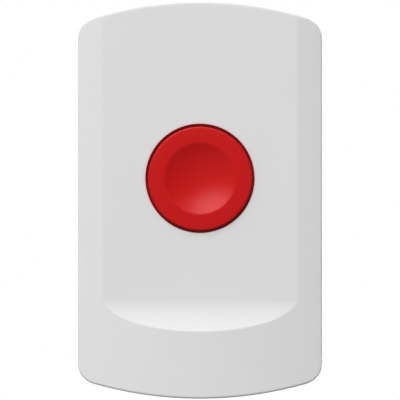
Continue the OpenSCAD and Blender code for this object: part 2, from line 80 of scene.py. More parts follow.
print("CAD box in mm:", [[round(v / MM, 2) for v in corner] for corner in cad_box])

# %% [markdown]
# ## Two ways of counting
# The object hangs on a wall, so its own directions are right, up and out from the wall. Its sizes are
# easiest to read in millimetres. `on_wall` turns such points into Blender's metres, where the front faces
# -Y and +Z is up. `reach` reads a piece's box back in the object's own directions.

# %% From the wall's directions to Blender's
def on_wall(points):
    right, up, out = np.asarray(points, float).T
    return np.stack([right, -out, up], axis=1) * MM


def reach(node):
    low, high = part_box(node)
    return np.array([low.x, low.z, -high.y]) / MM, np.array([high.x, high.z, -low.y]) / MM


cover_low, cover_high = reach("front_cover")
print("The cover reaches", cover_low.round(2), "to", cover_high.round(2))

# %% [markdown]
# ## What each piece belongs to
# A new piece stands for one CAD piece, and it takes its body from the record, so that it moves
# with the right part of the object. Small extras on the board stand for none, and they ride on the base.

# %% Bodies and slots
record = frame["record"]
BODY_OF = {node: body for body, names in record["behaviour"]["bodies"].items() for node in names}
SLOT_OF = {row["node"]: row["material_slot"] for row in record["subparts"]}


def stands_for(piece, node):
    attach(piece, BODY_OF[node])
    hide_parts(node)


def added_to_base(piece):
    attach(piece, "base")


print(len(SLOT_OF), "CAD pieces on", len(set(BODY_OF.values())), "bodies")

# %% [markdown]
# ## Sums that add their own nodes
# A material or a geometry tree is easier to read as a formula than as a drawing. `Flow` holds one output
# socket: adding or multiplying two of them adds the Math node that does it. Every other node comes from
# `Flow.node`, which sets the node up before it fills or links its sockets.

# %% A socket that can be used in a formula
class Flow:
    def __init__(self, tree, socket):
        self.tree = tree
        self.socket = socket

    @classmethod
    def node(cls, tree, kind, inputs=None, output=0, **settings):
        made = tree.nodes.new(kind)
        for name, value in settings.items():
            setattr(made, name, value)
        for name, value in (inputs or {}).items():
            if isinstance(value, Flow):
                tree.links.new(value.socket, made.inputs[name])
            else:
                made.inputs[name].default_value = value
        return cls(tree, made.outputs[output])

    def math(self, operation, *values):
        return Flow.node(self.tree, "ShaderNodeMath", dict(enumerate(values)), operation=operation)

    def step(self, low, high):
        """Rises softly from 0 at one value to 1 at another."""
        inputs = {"Value": self, "From Min": low, "From Max": high}
        return Flow.node(self.tree, "ShaderNodeMapRange", inputs, interpolation_type="SMOOTHSTEP")

    def parts(self):
        split = Flow.node(self.tree, "ShaderNodeSeparateXYZ", {0: self}).socket.node
        return [Flow(self.tree, socket) for socket in split.outputs]

    def __add__(self, other):
        return self.math("ADD", self, other)

    def __sub__(self, other):
        return self.math("SUBTRACT", self, other)

    def __rsub__(self, other):
        return self.math("SUBTRACT", other, self)

    def __mul__(self, other):
        return self.math("MULTIPLY", self, other)

    def __truediv__(self, other):
        return self.math("DIVIDE", self, other)

    def __pow__(self, other):
        return self.math("POWER", self, other)

    def __neg__(self):
        return self.math("MULTIPLY", self, -1)

    def __abs__(self):
        return self.math("ABSOLUTE", self)

    __radd__ = __add__
    __rmul__ = __mul__


print("Flow knows", sum(name.startswith("__") for name in vars(Flow)), "special names")

# %% [markdown]
# ## Finishes
# Moulded plastic is never one flat colour: the tool leaves a fine grain, and flow and handling leave very
# faint clouds. Each finish starts from one shader whose even values are set on its own sockets. Only what
# changes over the surface is painted with nodes, on Object coordinates, so that it stays put on the piece.

# %% A blank finish and what is often painted on it
GRAIN_DEPTH = 0.01    # mm, of every grain


class Finish:
    def __init__(self, name, **even):
        self.material = bpy.data.materials.new(name)
        self.material.use_nodes = True
        self.tree = self.material.node_tree
        self.shader = self.tree.nodes["Principled BSDF"]
        for socket, value in even.items():
            self.shader.inputs[socket.replace("_", " ")].default_value = value
        self.place = Flow.node(self.tree, "ShaderNodeTexCoord", output="Object")

    def paint(self, socket, value):
        self.tree.links.new(value.socket, self.shader.inputs[socket])

    def axes(self):
        right, back, up = (part / MM for part in self.place.parts())
        return right, up, -back

    def noise(self, size_mm, detail=2.0):
        inputs = {"Vector": self.place, "Scale": 1 / (size_mm * MM), "Detail": detail}
        return Flow.node(self.tree, "ShaderNodeTexNoise", inputs)

    def between(self, share, colour_a, colour_b):
        inputs = {0: share, 6: colour_a, 7: colour_b}
        return Flow.node(self.tree, "ShaderNodeMix", inputs, output=2, data_type="RGBA")

    def cloudy(self, clouds, colour, dark, pale):
        return self.between(clouds, shade(colour, dark), shade(colour, pale))

    def grain(self, height, strength):
        inputs = {"Height": height, "Distance": GRAIN_DEPTH * MM, "Strength": strength}
        self.paint("Normal", Flow.node(self.tree, "ShaderNodeBump", inputs))


def shade(colour, factor):
    return tuple(min(1, channel * factor) for channel in colour[:3]) + (1,)


print("Finishes are painted on Object coordinates")

# %% Moulded plastics
CLOUD_MM = 18         # how large the clouds in moulded plastic are
CLOUD_ROUGH = 0.08    # how far the clouds and the grain change its roughness
GRAIN_ROUGH = 0.06
GRAIN_BUMP = 0.12


def moulded(name, colour, roughness, grain_mm, cloud=0.012, specular=0.5):
    look = Finish(name, Specular_IOR_Level=specular)
    clouds = look.noise(CLOUD_MM, detail=3)
    look.paint("Base Color", look.cloudy(clouds, colour, 1 - cloud, 1 + cloud))
    fine = look.noise(grain_mm)
    look.paint("Roughness", roughness + CLOUD_ROUGH * (clouds - 0.5) + GRAIN_ROUGH * (fine - 0.5))
    look.grain(fine, GRAIN_BUMP)
    return look.material


housing_white = moulded("housing_white", (0.76, 0.76, 0.76), 0.4, 0.25, specular=0.2)
base_white = moulded("base_white", (0.73, 0.735, 0.735), 0.55, 0.35)
natural_plastic = moulded("natural_plastic", (0.72, 0.7, 0.63), 0.5, 0.4)
button_red = moulded("button_red", (0.58, 0.0042, 0.0047), 0.31, 0.3, cloud=0.02, specular=0.21)
black_plastic = moulded("black_plastic", (0.02, 0.02, 0.022), 0.5, 0.3, cloud=0.2)

# %% [markdown]
# ### Metals
# The screws are zinc-plated, the springs are drawn wire and the legs are tinned. Such metal is grey because
# it mirrors its surroundings, and stains make some spots duller than others. A picture of worn metal could
# be laid over it, but a noise has no seams and works at any size, so noise changes colour and roughness.

# %% Metals
STAIN_MM = 2.5        # how large the stains on metal and on the small parts are
STAIN_ROUGH = 0.15
METAL_GRAIN = 0.2
SMALL_BUMP = 0.1


def drawn_metal(name, colour, roughness):
    look = Finish(name, Metallic=1.0)
    stains = look.noise(STAIN_MM, detail=4)
    look.paint("Base Color", look.cloudy(stains, colour, 0.88, 1.08))
    look.paint("Roughness", roughness + STAIN_ROUGH * (stains - 0.5))
    look.grain(look.noise(METAL_GRAIN), SMALL_BUMP)
    return look.material


zinc_steel = drawn_metal("zinc_steel", (0.6, 0.61, 0.63), 0.35)
spring_steel = drawn_metal("spring_steel", (0.5, 0.5, 0.52), 0.3)
tinned_metal = drawn_metal("tinned_metal", (0.68, 0.69, 0.7), 0.38)
bare_can = drawn_metal("bare_can", (0.75, 0.76, 0.77), 0.32)
copper_wire = drawn_metal("copper_wire", (0.78, 0.42, 0.2), 0.3)

# %% [markdown]
# ## Geometry trees
# A tree of Geometry Nodes makes what repeats and what follows a rule. `rule_tree` opens one with named
# inputs, `close_tree` ends it, and `grow` runs it once on a start mesh and keeps the plain result. A mesh can
# carry values at its points for a tree: `stored` reads them there, and `forget` removes them afterwards.

# %% Opening, closing and running a tree
SOCKETS = {"Finish": "NodeSocketMaterial", "Pattern": "NodeSocketObject"}      # all others are numbers


def rule_tree(name, sizes):
    tree = bpy.data.node_groups.new(name, "GeometryNodeTree")
    tree.interface.new_socket("Geometry", in_out="INPUT", socket_type="NodeSocketGeometry")
    for size in (*sizes, "Finish"):
        kind = SOCKETS.get(size, "NodeSocketFloat")
        tree.interface.new_socket(size, in_out="INPUT", socket_type=kind)
    tree.interface.new_socket("Geometry", in_out="OUTPUT", socket_type="NodeSocketGeometry")
    given = tree.nodes.new("NodeGroupInput")
    return tree, {socket.name: Flow(tree, socket) for socket in given.outputs if socket.name}


def close_tree(tree, given, shape):
    real = Flow.node(tree, "GeometryNodeRealizeInstances", {0: shape})
    done = Flow.node(tree, "GeometryNodeSetMaterial", {"Geometry": real, "Material": given["Finish"]})
    result = tree.nodes.new("NodeGroupOutput")
    tree.links.new(done.socket, result.inputs[0])


def stored(tree, name, kind):
    return Flow.node(tree, "GeometryNodeInputNamedAttribute", {"Name": name}, data_type=kind)


def forget(mesh, names):
    for name in names:
        if name in mesh.attributes:
            mesh.attributes.remove(mesh.attributes[name])


def shown(name, data):
    thing = bpy.data.objects.new(name, data)
    bpy.context.scene.collection.objects.link(thing)
    return thing


def settle(piece):
    """Keeps what the modifiers make as a plain mesh."""
    evaluated = piece.evaluated_get(bpy.context.evaluated_depsgraph_get())
    mesh = bpy.data.meshes.new_from_object(evaluated)
    piece.modifiers.clear()
    piece.data = mesh


def grow(name, start, tree, finish, sizes):
    piece = shown(name, start)
    modifier = piece.modifiers.new("rule", "NODES")
    modifier.node_group = tree
    wanted = dict(sizes, Finish=finish)
    for item in tree.interface.items_tree:
        if item.in_out == "INPUT" and item.name in wanted:
            modifier[item.identifier] = wanted[item.name]
    settle(piece)
    return piece


def smooth(mesh, angle=35):
    mesh.shade_smooth()
    mesh.set_sharp_from_angle(angle=math.radians(angle))


def even_shading(piece):
    """Lets large faces rule the shading, so that a flat top looks flat up to its rounded edge."""
    piece.modifiers.new("shading", "WEIGHTED_NORMAL").keep_sharp = True
    settle(piece)


print("Trees end in Realize Instances and Set Material")

# %% [markdown]
# ## The front cover
# The cover is one moulded shell. Its front is a barrel, curved across the width, with a flat face cut into
# it and a hollow ramp that rises from the face to the barrel, so the ramp ends in a smile-shaped edge. One
# formula gives the front at every point: the lower of the barrel and the face, with a soft minimum for the
# rounded edges that a mould has. So the cover is drawn flat first, as a plan whose lines follow the edges,
# and a tree lifts each point of the plan to its height.

# %% Sizes of the cover
half_w, half_h, crest_out = cover_high
edge_out = cover_low[2]
TOP_ARC_R = 104
BOTTOM_ARC_R = 118
CORNER_R = 5.7
DRAFTED_CORNER_R = 6.8   # of the outer skin's back edge, so that the drafted front has CORNER_R
COVER_WALL = 2
CROWN_R = 125
FACE_HALF = 27.5      # half the width of the flat face
RAMP_DROP = 85.8      # from the top of the cover to the foot of the ramp
RAMP_R = 18.4
RAMP_ANGLE = math.radians(7)
EDGE_BLEND = 0.15     # how softly the face meets the barrel, and the ramp the face
FOOT_BLEND = 0.04
crown_out = crest_out - CROWN_R
face_out = crown_out + math.sqrt(CROWN_R**2 - FACE_HALF**2)
ramp_up = half_h - RAMP_DROP + RAMP_R * math.sin(RAMP_ANGLE)
ramp_out = face_out + RAMP_R * math.cos(RAMP_ANGLE)
print("flat face at", round(face_out, 2), "mm out, ramp centre at", round(ramp_up, 2), "mm up")

# %% The tree that lifts a plan to the cover's height
RELIEF_SIZES = (
    "Crown radius", "Crown centre", "Face", "Ramp radius", "Ramp up", "Ramp out", "Edge blend", "Foot blend",
)
PLAN_VALUES = ("drop", "share", "level", "inset")


def relief_tree():
    tree, given = rule_tree("cover_relief", RELIEF_SIZES)
    right, up, _ = Flow.node(tree, "GeometryNodeInputPosition").parts()
    drop, share, level, inset = (stored(tree, name, "FLOAT") for name in PLAN_VALUES)
    barrel = given["Crown centre"] + ((given["Crown radius"] - inset) ** 2 - right * right) ** 0.5
    below = up.math("MINIMUM", up - given["Ramp up"], 0)
    ramp = given["Ramp out"] - ((given["Ramp radius"] + inset) ** 2 - below * below) ** 0.5
    face = up.math("SMOOTH_MAX", given["Face"] - inset, ramp, given["Foot blend"])
    front = up.math("SMOOTH_MIN", barrel, face, given["Edge blend"])
    out = (front - drop) * (1 - share) + level * share
    inputs = {"X": right * MM, "Y": out * -MM, "Z": up * MM}
    lifted = Flow.node(tree, "ShaderNodeCombineXYZ", inputs)
    shape = Flow.node(tree, "GeometryNodeSetPosition", {"Geometry": given["Geometry"], "Position": lifted})
    close_tree(tree, given, shape)
    return tree


cover_relief = relief_tree()
print("cover_relief has", len(cover_relief.nodes), "nodes")

# %% [markdown]
# ### The lines of the plan
# The outline has straight sides, a large arc at each end and four round corners. It is listed as points
# with the direction that faces outwards there, from the middle of the top down the right-hand side to the
# middle of the bottom. The edge of the flat face goes straight down and then follows the smile. Both have
# the same number of points below the top corner, so that columns can join them.

# %% Points on the outline
CORNER_STEPS = 12
SIDE_STEPS = 24
LOW_SIDE_STEPS = 6
SMILE_STEPS = 46
FAN_ROWS = 7          # from the face's edge to the rim
TOP_STEPS = 16
SIDE_SPLIT = 5        # how far below the ramp's centre the columns from the smile reach the side


def end_arc(sign):
    arc_r = TOP_ARC_R if sign > 0 else BOTTOM_ARC_R
    return arc_r, sign * (half_h - arc_r)


def on_end(sign, right, inset=0):
    arc_r, centre = end_arc(sign)
    slope = right / (arc_r - inset)
    facing = np.array([slope, sign * math.sqrt(1 - slope**2)])
    return np.array([0, centre]) + arc_r * facing, facing


def corner(sign, corner_r):
    arc_r, centre = end_arc(sign)
    right = half_w - corner_r
    rise = math.sqrt((arc_r - corner_r) ** 2 - right**2)
    return np.array([right, centre + sign * rise]), math.atan2(rise, right)


def on_corner(sign, share, corner_r):
    centre, turn = corner(sign, corner_r)
    facing = np.array([math.cos(turn * share), sign * math.sin(turn * share)])
    return centre + corner_r * facing, facing


def on_side(up):
    return np.array([half_w, up]), np.array([1.0, 0.0])


high_corner_up, low_corner_up = (corner(sign, DRAFTED_CORNER_R)[0][1] for sign in (1, -1))
print("corners turn into the sides at", round(high_corner_up, 2), "and", round(low_corner_up, 2), "mm up")

# %% Half of the outline, from the middle of the top to the middle of the bottom
def half_outline(edge_right, near, inset, corner_r):
    beside = [edge_right + offset for offset in near]
    tops = [*np.linspace(0, beside[0], TOP_STEPS + 1)[:-1], *beside]
    bend = on_corner(1, 1, corner_r)[0][0]
    line = [on_end(1, right, inset) for right in (*tops, (beside[-1] + bend) / 2)]
    line += [on_corner(1, share, corner_r) for share in np.linspace(1, 0.5, FAN_ROWS - 1)]
    line += [on_corner(1, share, corner_r) for share in np.linspace(0.5, 0, CORNER_STEPS // 2 + 1)[1:]]
    split = ramp_up - SIDE_SPLIT
    line += [on_side(up) for up in np.linspace(high_corner_up, split, SIDE_STEPS + 1)[1:]]
    line += [on_side(up) for up in np.linspace(split, low_corner_up, LOW_SIDE_STEPS + 1)[1:]]
    line += [on_corner(-1, share, corner_r) for share in np.linspace(0, 1, CORNER_STEPS + 1)[1:]]
    rest = SMILE_STEPS - LOW_SIDE_STEPS - CORNER_STEPS
    line += [on_end(-1, right) for right in np.linspace(line[-1][0][0], 0, rest + 1)[1:]]
    return np.array([point for point, _ in line]), np.array([facing for _, facing in line])


NEAR = (0.06, 0.13, 0.21, 0.32, 0.48, 0.7, 1.0)      # lines on either side of the face's edge
near_lines = (*(-offset for offset in NEAR[::-1]), 0, *NEAR)
print("half of the outline:", len(half_outline(FACE_HALF, near_lines, 0, CORNER_R)[0]), "points")

# %% The edge between the face and the barrel
STRIP = (0.9, 0.3)    # two lines that cross the face just above the ramp
ABOVE_STRIP = 2.5     # the last point of the straight edge above them
FINE_STEPS = 2000


def face_edge(inset, start_up):
    crown_r, ramp_r = CROWN_R - inset, RAMP_R + inset
    edge_right = math.sqrt(crown_r**2 - (face_out - inset - crown_out) ** 2)
    fine = edge_right * np.sin(np.linspace(math.pi / 2, 0, FINE_STEPS))
    barrel = crown_out + np.sqrt(crown_r**2 - fine**2)
    smile = np.stack([fine, ramp_up - np.sqrt(ramp_r**2 - (ramp_out - barrel) ** 2)], axis=1)
    gone = np.concatenate([[0], np.cumsum(np.linalg.norm(np.diff(smile, axis=0), axis=1))])
    even = np.linspace(0, gone[-1], SMILE_STEPS + 1)
    smile = np.stack([np.interp(even, gone, smile[:, i]) for i in range(2)], axis=1)
    foot = smile[0, 1]
    ups = [*np.linspace(start_up, high_corner_up, CORNER_STEPS // 2 + 1)[:-1]]
    ups += [*np.linspace(high_corner_up, foot + ABOVE_STRIP, SIDE_STEPS - len(STRIP))]
    ups += [foot + rise for rise in STRIP]
    line = np.concatenate([[(edge_right, up) for up in ups], smile])
    along = np.gradient(line, axis=0)
    facing = np.stack([-along[:, 1], along[:, 0]], axis=1)
    facing /= np.linalg.norm(facing, axis=1)[:, None]
    facing[: len(ups)] = (1, 0)
    facing[-1] = (0, -1)
    return line, facing, len(ups)


edge_line = face_edge(0, half_h)[0]
print("face edge:", len(edge_line), "points; the smile reaches down to", edge_line[-1].round(2))

# %% [markdown]
# ### The plan
# `Plan` collects points and faces. Each point also keeps four values for the tree: its drop below the
# front's height, its share of the way to a level, that level, and the inset of the skin that it lies on. So
# the outer and the inner skin, the walls between them and the screw posts are one closed mesh.

# %% Collecting points and faces
class Plan:
    def __init__(self):
        self.points, self.values, self.faces = [], [], []

    def add(self, points, drop=0.0, share=0.0, level=0.0, inset=0.0):
        first = len(self.points)
        self.points += [tuple(point) for point in points]
        self.values += [(drop, share, level, inset)] * len(points)
        return list(range(first, len(self.points)))

    def grid(self, rows, closed=False):
        for near, far in zip(rows[:-1], rows[1:]):
            for i in range(0 if closed else 1, len(near)):
                corners = list(dict.fromkeys((near[i - 1], near[i], far[i], far[i - 1])))
                if len(corners) > 2:
                    self.faces.append(corners)

    def fill(self, *loops):
        flat = bmesh.new()
        known = {}
        edges = []
        for loop in loops:
            ring = [flat.verts.new((*self.points[i], 0)) for i in loop]
            known.update(zip(ring, loop))
            edges += [flat.edges.new((ring[i - 1], ring[i])) for i in range(len(ring))]
        filled = bmesh.ops.triangle_fill(flat, use_beauty=True, edges=edges, normal=(0, 0, 1))
        found = [item for item in filled["geom"] if isinstance(item, bmesh.types.BMFace)]
        self.faces += [[known[vertex] for vertex in face.verts] for face in found]
        flat.free()

    def mesh(self, name):
        mesh = bpy.data.meshes.new(name)
        mesh.from_pydata([(*point, 0) for point in self.points], [], self.faces)
        for attribute, values in zip(PLAN_VALUES, np.array(self.values).T):
            mesh.attributes.new(attribute, "FLOAT", "POINT").data.foreach_set("value", values)
        return mesh


def there_and_back(points):
    """Adds the mirror image of all but the two ends, so a half becomes a whole ring."""
    return np.concatenate([points, points[-2:0:-1] * (-1, 1)])


def circle(centre, radius, steps):
    turns = np.linspace(0, 2 * math.pi, steps, endpoint=False)
    return np.stack([centre[0] + radius * np.cos(turns), centre[1] + radius * np.sin(turns)], axis=1)


print("each point of a plan keeps", PLAN_VALUES)

# %% [markdown]
# ### Two skins
# A moulded shell has walls of about one thickness, so that it cools evenly. A Solidify modifier could thicken
# a single skin, but it would copy the rounded edges and the lean of the sides to the inside. So one function
# draws the outer and the inner skin, and rows of faces join them at the back edge and in the button's hole.

# %% One skin of the cover, from its rim to the loop round the flat face
DRAFT_SIDE = 0.32     # the walls lean in towards the front, so that the cover leaves its mould
DRAFT_TOP = 0.84
DRAFT_LOW = 1.0
GUARD = 0.7           # a flat strip beside a rounded edge, which keeps the shading of the face flat
RAMP_ROWS = 12


def inset_row(half, inset, leaning):
    points, facing = half
    across, upright = facing[:, :1], facing[:, 1:]
    lean = DRAFT_SIDE * across**2 + np.where(upright > 0, DRAFT_TOP, DRAFT_LOW) * upright**2
    return there_and_back(points - facing * (inset + lean * leaning))


def draw_front(plan, near, skin, rim_inset, leaning):
    edge_right = math.sqrt((CROWN_R - skin) ** 2 - (face_out - skin - crown_out) ** 2)
    corner_r = DRAFTED_CORNER_R if leaning else CORNER_R
    half = half_outline(edge_right, near, rim_inset + DRAFT_TOP * leaning, corner_r)
    rim_points = inset_row(half, rim_inset, leaning)
    rim = plan.add(rim_points, inset=skin)
    edge, facing, kink = face_edge(skin, rim_points[TOP_STEPS + len(near) // 2][1])
    last = len(edge) - 1
    lines = []
    for i, offset in enumerate(near):
        start = TOP_STEPS + i
        line = plan.add(there_and_back(edge + offset * facing)[1 : 2 * last], inset=skin)
        lines.append([rim[start], *line, rim[-start]])
    plan.grid(lines)
    fan = fan_rows(plan, lines[-1], rim, TOP_STEPS + len(near) - 1, last, skin)
    plan.grid([lines[-1], *fan])
    return half, rim, ramp_and_loop(plan, lines[0], rim, kink, last, skin)


def fan_rows(plan, line, rim, start, last, skin):
    points = np.array(plan.points)
    near = points[line[: last + 1]]
    far = points[rim[start + FAN_ROWS : start + FAN_ROWS + last + 1]]
    top = points[rim[start : start + FAN_ROWS + 1]]
    fade = (1 - np.arange(last + 1)[:, None] / last) ** 4
    rows = []
    for j in range(1, FAN_ROWS):
        share = j / FAN_ROWS
        bulge = top[j] - (1 - share) * top[0] - share * top[-1]
        half = (1 - share) * near + share * far + fade * bulge
        inner = plan.add(there_and_back(half)[1 : 2 * last], inset=skin)
        rows.append([rim[start + j], *inner, rim[-start - j]])
    whole = len(rim)
    rows.append([rim[i % whole] for i in range(start + FAN_ROWS, whole - start - FAN_ROWS + 1)])
    return rows


def ramp_and_loop(plan, line, rim, kink, last, skin):
    end = 2 * last
    low = line[kink : end - kink + 1]
    low_points = np.array(plan.points)[low]
    first = kink - len(STRIP)
    rows = []
    for side in range(first, kink):
        up = plan.points[line[side]][1]
        inner = plan.add([(right, up) for right, _ in low_points[1:-1]], inset=skin)
        rows.append([line[side], *inner, line[end - side]])
    strip_up = plan.points[rows[-1][0]][1]
    for share in np.linspace(0, 1, RAMP_ROWS + 1)[1:-1]:
        points = [(right, strip_up + (up - strip_up) * share) for right, up in low_points[1:-1]]
        rows.append([low[0], *plan.add(points, inset=skin), low[-1]])
    plan.grid([*rows, low])
    loop = [rim[i] for i in range(-TOP_STEPS, TOP_STEPS + 1)]
    return [*loop, *line[1:first], *rows[0], *line[end - first + 1 : end]]


print("a skin has", RAMP_ROWS, "rows on its ramp and", FAN_ROWS, "between the face's edge and the rim")

# %% Both skins, the walls, the mouth of the button's hole and the screw posts
RIM_ROUND = 0.38      # how far in from the side the front's edge starts to round off
RIM_LOWER = 0.3       # how much further in it starts where the outline faces straight down
RIM_FALL = 1.3        # and how far down the side the rounding ends
RIM_STEPS = 10
WALL_SHARES = (0.33, 0.66, 0.985)      # rows between the rounding and the back edge
BACK_CHAMFER = 0.25
MOUTH_ROUND = 0.18
MOUTH_STEPS = 4
ROUND_STEPS = 128
POST_R = 3
PILOT_R = 1.35
POST_STEPS = 40
cap_low, cap_high = reach("button_cap")
button_axis = np.array([0, (cap_low[1] + cap_high[1]) / 2])
flange_r = cap_high[0]
FLANGE_LAP = 1.2      # how far the button's flange reaches behind the hole's edge
HOLE_R = flange_r - FLANGE_LAP
POST_OFFSET = 5.15    # from the flange to the middle of a post
post_centres = circle(button_axis, flange_r + POST_OFFSET, 12)[3::4]      # at 12, 8 and 4 o'clock
post_end = reach("return_spring")[0][2]


def quarter(radius, steps):
    """Insets and drops along a rounded edge, from the flat side to the upright one."""
    turns = np.linspace(math.pi / 2, 0, steps + 1)
    return zip(radius * (1 - np.cos(turns)), radius * (1 - np.sin(turns)))


def draw_cover():
    plan = Plan()
    half, rim, loop = draw_front(plan, near_lines, 0, RIM_ROUND + GUARD, 1)
    rows = [rim]
    rim_round = RIM_ROUND + RIM_LOWER * np.minimum(half[1][:, 1:], 0) ** 2
    for inset, fall in quarter(1, RIM_STEPS):
        rows.append(plan.add(inset_row(half, rim_round * inset, 1), drop=RIM_FALL * fall))
    for share in WALL_SHARES:
        row = inset_row(half, 0, 1 - share)
        rows.append(plan.add(row, drop=RIM_FALL, share=share, level=edge_out))
    rows.append(plan.add(inset_row(half, BACK_CHAMFER, 0), share=1, level=edge_out))
    mouth = [plan.add(circle(button_axis, HOLE_R + MOUTH_ROUND + GUARD, ROUND_STEPS))]
    for inset, drop in quarter(MOUTH_ROUND, MOUTH_STEPS):
        mouth.append(plan.add(circle(button_axis, HOLE_R + inset, ROUND_STEPS), drop=drop))
    plan.fill(loop, mouth[0])
    skin = {"inset": COVER_WALL}
    half, rim, loop = draw_front(plan, near_lines, COVER_WALL, COVER_WALL + GUARD, 0)
    inner_row = inset_row(half, COVER_WALL, 0)
    rows.append(plan.add(inner_row, share=1, level=edge_out, **skin))
    rows.append(plan.add(inner_row, **skin))
    plan.grid([*rows, rim], closed=True)
    mouth.append(plan.add(circle(button_axis, HOLE_R, ROUND_STEPS), **skin))
    plan.grid(mouth, closed=True)
    posts = [draw_post(plan, centre, skin) for centre in post_centres]
    plan.fill(loop, mouth[-1], *posts)
    return plan.mesh("front_shell")


def draw_post(plan, centre, skin):
    rows = [plan.add(circle(centre, POST_R, POST_STEPS), **skin)]
    for radius, level in ((POST_R, post_end), (PILOT_R, post_end), (PILOT_R, face_out - COVER_WALL)):
        rows.append(plan.add(circle(centre, radius, POST_STEPS), share=1, level=level, **skin))
    plan.grid(rows, closed=True)
    plan.faces.append(rows[-1])
    return rows[0]


cover_plan = draw_cover()
print("plan of the cover:", len(cover_plan.vertices), "points and", len(cover_plan.polygons), "faces")

# %% Lifting the plan
def outward(name, mesh, angle=35):
    """Turns every face of a closed mesh to the outside, and shades it smooth."""
    whole = bmesh.new()
    whole.from_mesh(mesh)
    bmesh.ops.recalc_face_normals(whole, faces=whole.faces)
    whole.to_mesh(mesh)
    open_edges = sum(not edge.is_manifold for edge in whole.edges)
    whole.free()
    smooth(mesh, angle)
    print(name, "has", len(mesh.polygons), "faces and", open_edges, "open edges")


front_shell = grow("front_shell", cover_plan, cover_relief, housing_white, {
    "Crown radius": CROWN_R,
    "Crown centre": crown_out,
    "Face": face_out,
    "Ramp radius": RAMP_R,
    "Ramp up": ramp_up,
    "Ramp out": ramp_out,
    "Edge blend": EDGE_BLEND,
    "Foot blend": FOOT_BLEND,
})
forget(front_shell.data, PLAN_VALUES)
outward("front_shell", front_shell.data)
stands_for(front_shell, "front_cover")

# %% [markdown]
# ## The button
# The cap is turned on its own axis, so it is drawn as half of its section and swept round. A moulded cap
# has no sharp corner, so the profile is a list of corners with the rounding of each, and the dish is a
# shallow part of a sphere whose edge runs softly into the flat ring.

# %% Profiles with rounded corners, swept round an axis
ON_AXIS = 1e-6        # a smaller radius counts as a point on the axis


def rounded(corners, steps=6):
    """Corners are (radius, height, rounding), and an arc takes the place of each that has a rounding."""
    profile = []
    for i, (radius, height, rounding) in enumerate(corners):
        here = np.array([radius, height])
        if not rounding:
            profile.append(here)
            continue
        back, ahead = (np.array(corners[i + step][:2]) - here for step in (-1, 1))
        back, ahead = back / np.linalg.norm(back), ahead / np.linalg.norm(ahead)
        half_angle = math.acos(np.dot(back, ahead)) / 2
        middle = (back + ahead) / np.linalg.norm(back + ahead) * rounding / math.sin(half_angle)
        reach_in = rounding / math.tan(half_angle)
        first, final = back * reach_in - middle, ahead * reach_in - middle
        turn = math.pi - 2 * half_angle
        for share in np.linspace(0, 1, steps + 1):
            arm = (math.sin((1 - share) * turn) * first + math.sin(share * turn) * final) / math.sin(turn)
            profile.append(here + middle + arm)
    return np.array(profile)


def closed_piece(name, points, faces, finish):
    mesh = bpy.data.meshes.new(name)
    mesh.from_pydata(on_wall(points).tolist(), [], faces)
    mesh.materials.append(finish)
    outward(name, mesh)
    return shown(name, mesh)


def standing(centre=(0, 0)):
    """The place of a piece whose axis points straight out of the wall."""
    return lambda a, b, out: (centre[0] + a, centre[1] + b, out)


def swept(name, profile, finish, place=standing(), steps=ROUND_STEPS):
    """Sweeps a profile round; place turns two numbers across the axis and one along it into the wall's."""
    turns = np.linspace(0, 2 * math.pi, steps, endpoint=False)
    points, rows = [], []
    is_ring = np.allclose(profile[0], profile[-1])
    for radius, height in profile[: len(profile) - is_ring]:
        count = steps if radius > ON_AXIS else 1
        rows.append([len(points) + i % count for i in range(steps)])
        points += [place(radius * math.cos(turn), radius * math.sin(turn), height) for turn in turns[:count]]
    plan = Plan()
    plan.grid([*rows, rows[0]] if is_ring else rows, closed=True)
    return closed_piece(name, points, plan.faces, finish)


# %% The red cap
BUTTON_GAP = 0.85     # between the button and the edge of its hole
BUTTON_R = HOLE_R - BUTTON_GAP
CAP_WALL = 1.5
RIM_RADIUS = 0.4
DISH_R = 10.1
DISH_DEPTH = 2.5
DISH_EDGE = 1.7       # the rounding of the dish's edge
DISH_STOP = 1         # the sphere's points stop so far before that edge
DISH_STEPS = 20
FLANGE_T = 1.5
FLANGE_OUT = 20.4
SKIRT_OUT = 18.3
STEM_R = 3
cap_top, stem_tip = cap_high[2], cap_low[2]
dish_sphere = (DISH_R**2 + DISH_DEPTH**2) / (2 * DISH_DEPTH)
cap_under = cap_top - DISH_DEPTH - CAP_WALL


def on_dish(radius):
    return cap_top - DISH_DEPTH + dish_sphere - math.sqrt(dish_sphere**2 - radius**2)


cap_profile = rounded([
    *((radius, on_dish(radius), 0) for radius in np.linspace(0, DISH_R - DISH_STOP, DISH_STEPS)),
    (DISH_R, cap_top, DISH_EDGE),
    (BUTTON_R, cap_top, RIM_RADIUS),
    (BUTTON_R, FLANGE_OUT, 0.1),
    (flange_r, FLANGE_OUT, 0.15),
    (flange_r, FLANGE_OUT - FLANGE_T, 0.15),
    (BUTTON_R, FLANGE_OUT - FLANGE_T, 0.1),
    (BUTTON_R, SKIRT_OUT, 0.2),
    (BUTTON_R - CAP_WALL, SKIRT_OUT, 0.2),
    (BUTTON_R - CAP_WALL, cap_under, 0.4),
    (STEM_R, cap_under, 0.4),
    (STEM_R, stem_tip, 0.3),
    (0, stem_tip, 0),
])
stands_for(swept("red_cap", cap_profile, button_red, standing(button_axis)), "button_cap")

# %% [markdown]
# ## Wound wire
# Three pieces are wound from one wire each: the return spring, the spring at the end of the cell and the
# helix antenna. A path is a line of points from a formula, and one tree sweeps a round section along it. The
# tube is closed with flat caps, as a cut wire is. The tree can also press the tube flat and shift it to a
# level, and that makes the board's tracks and print later on.

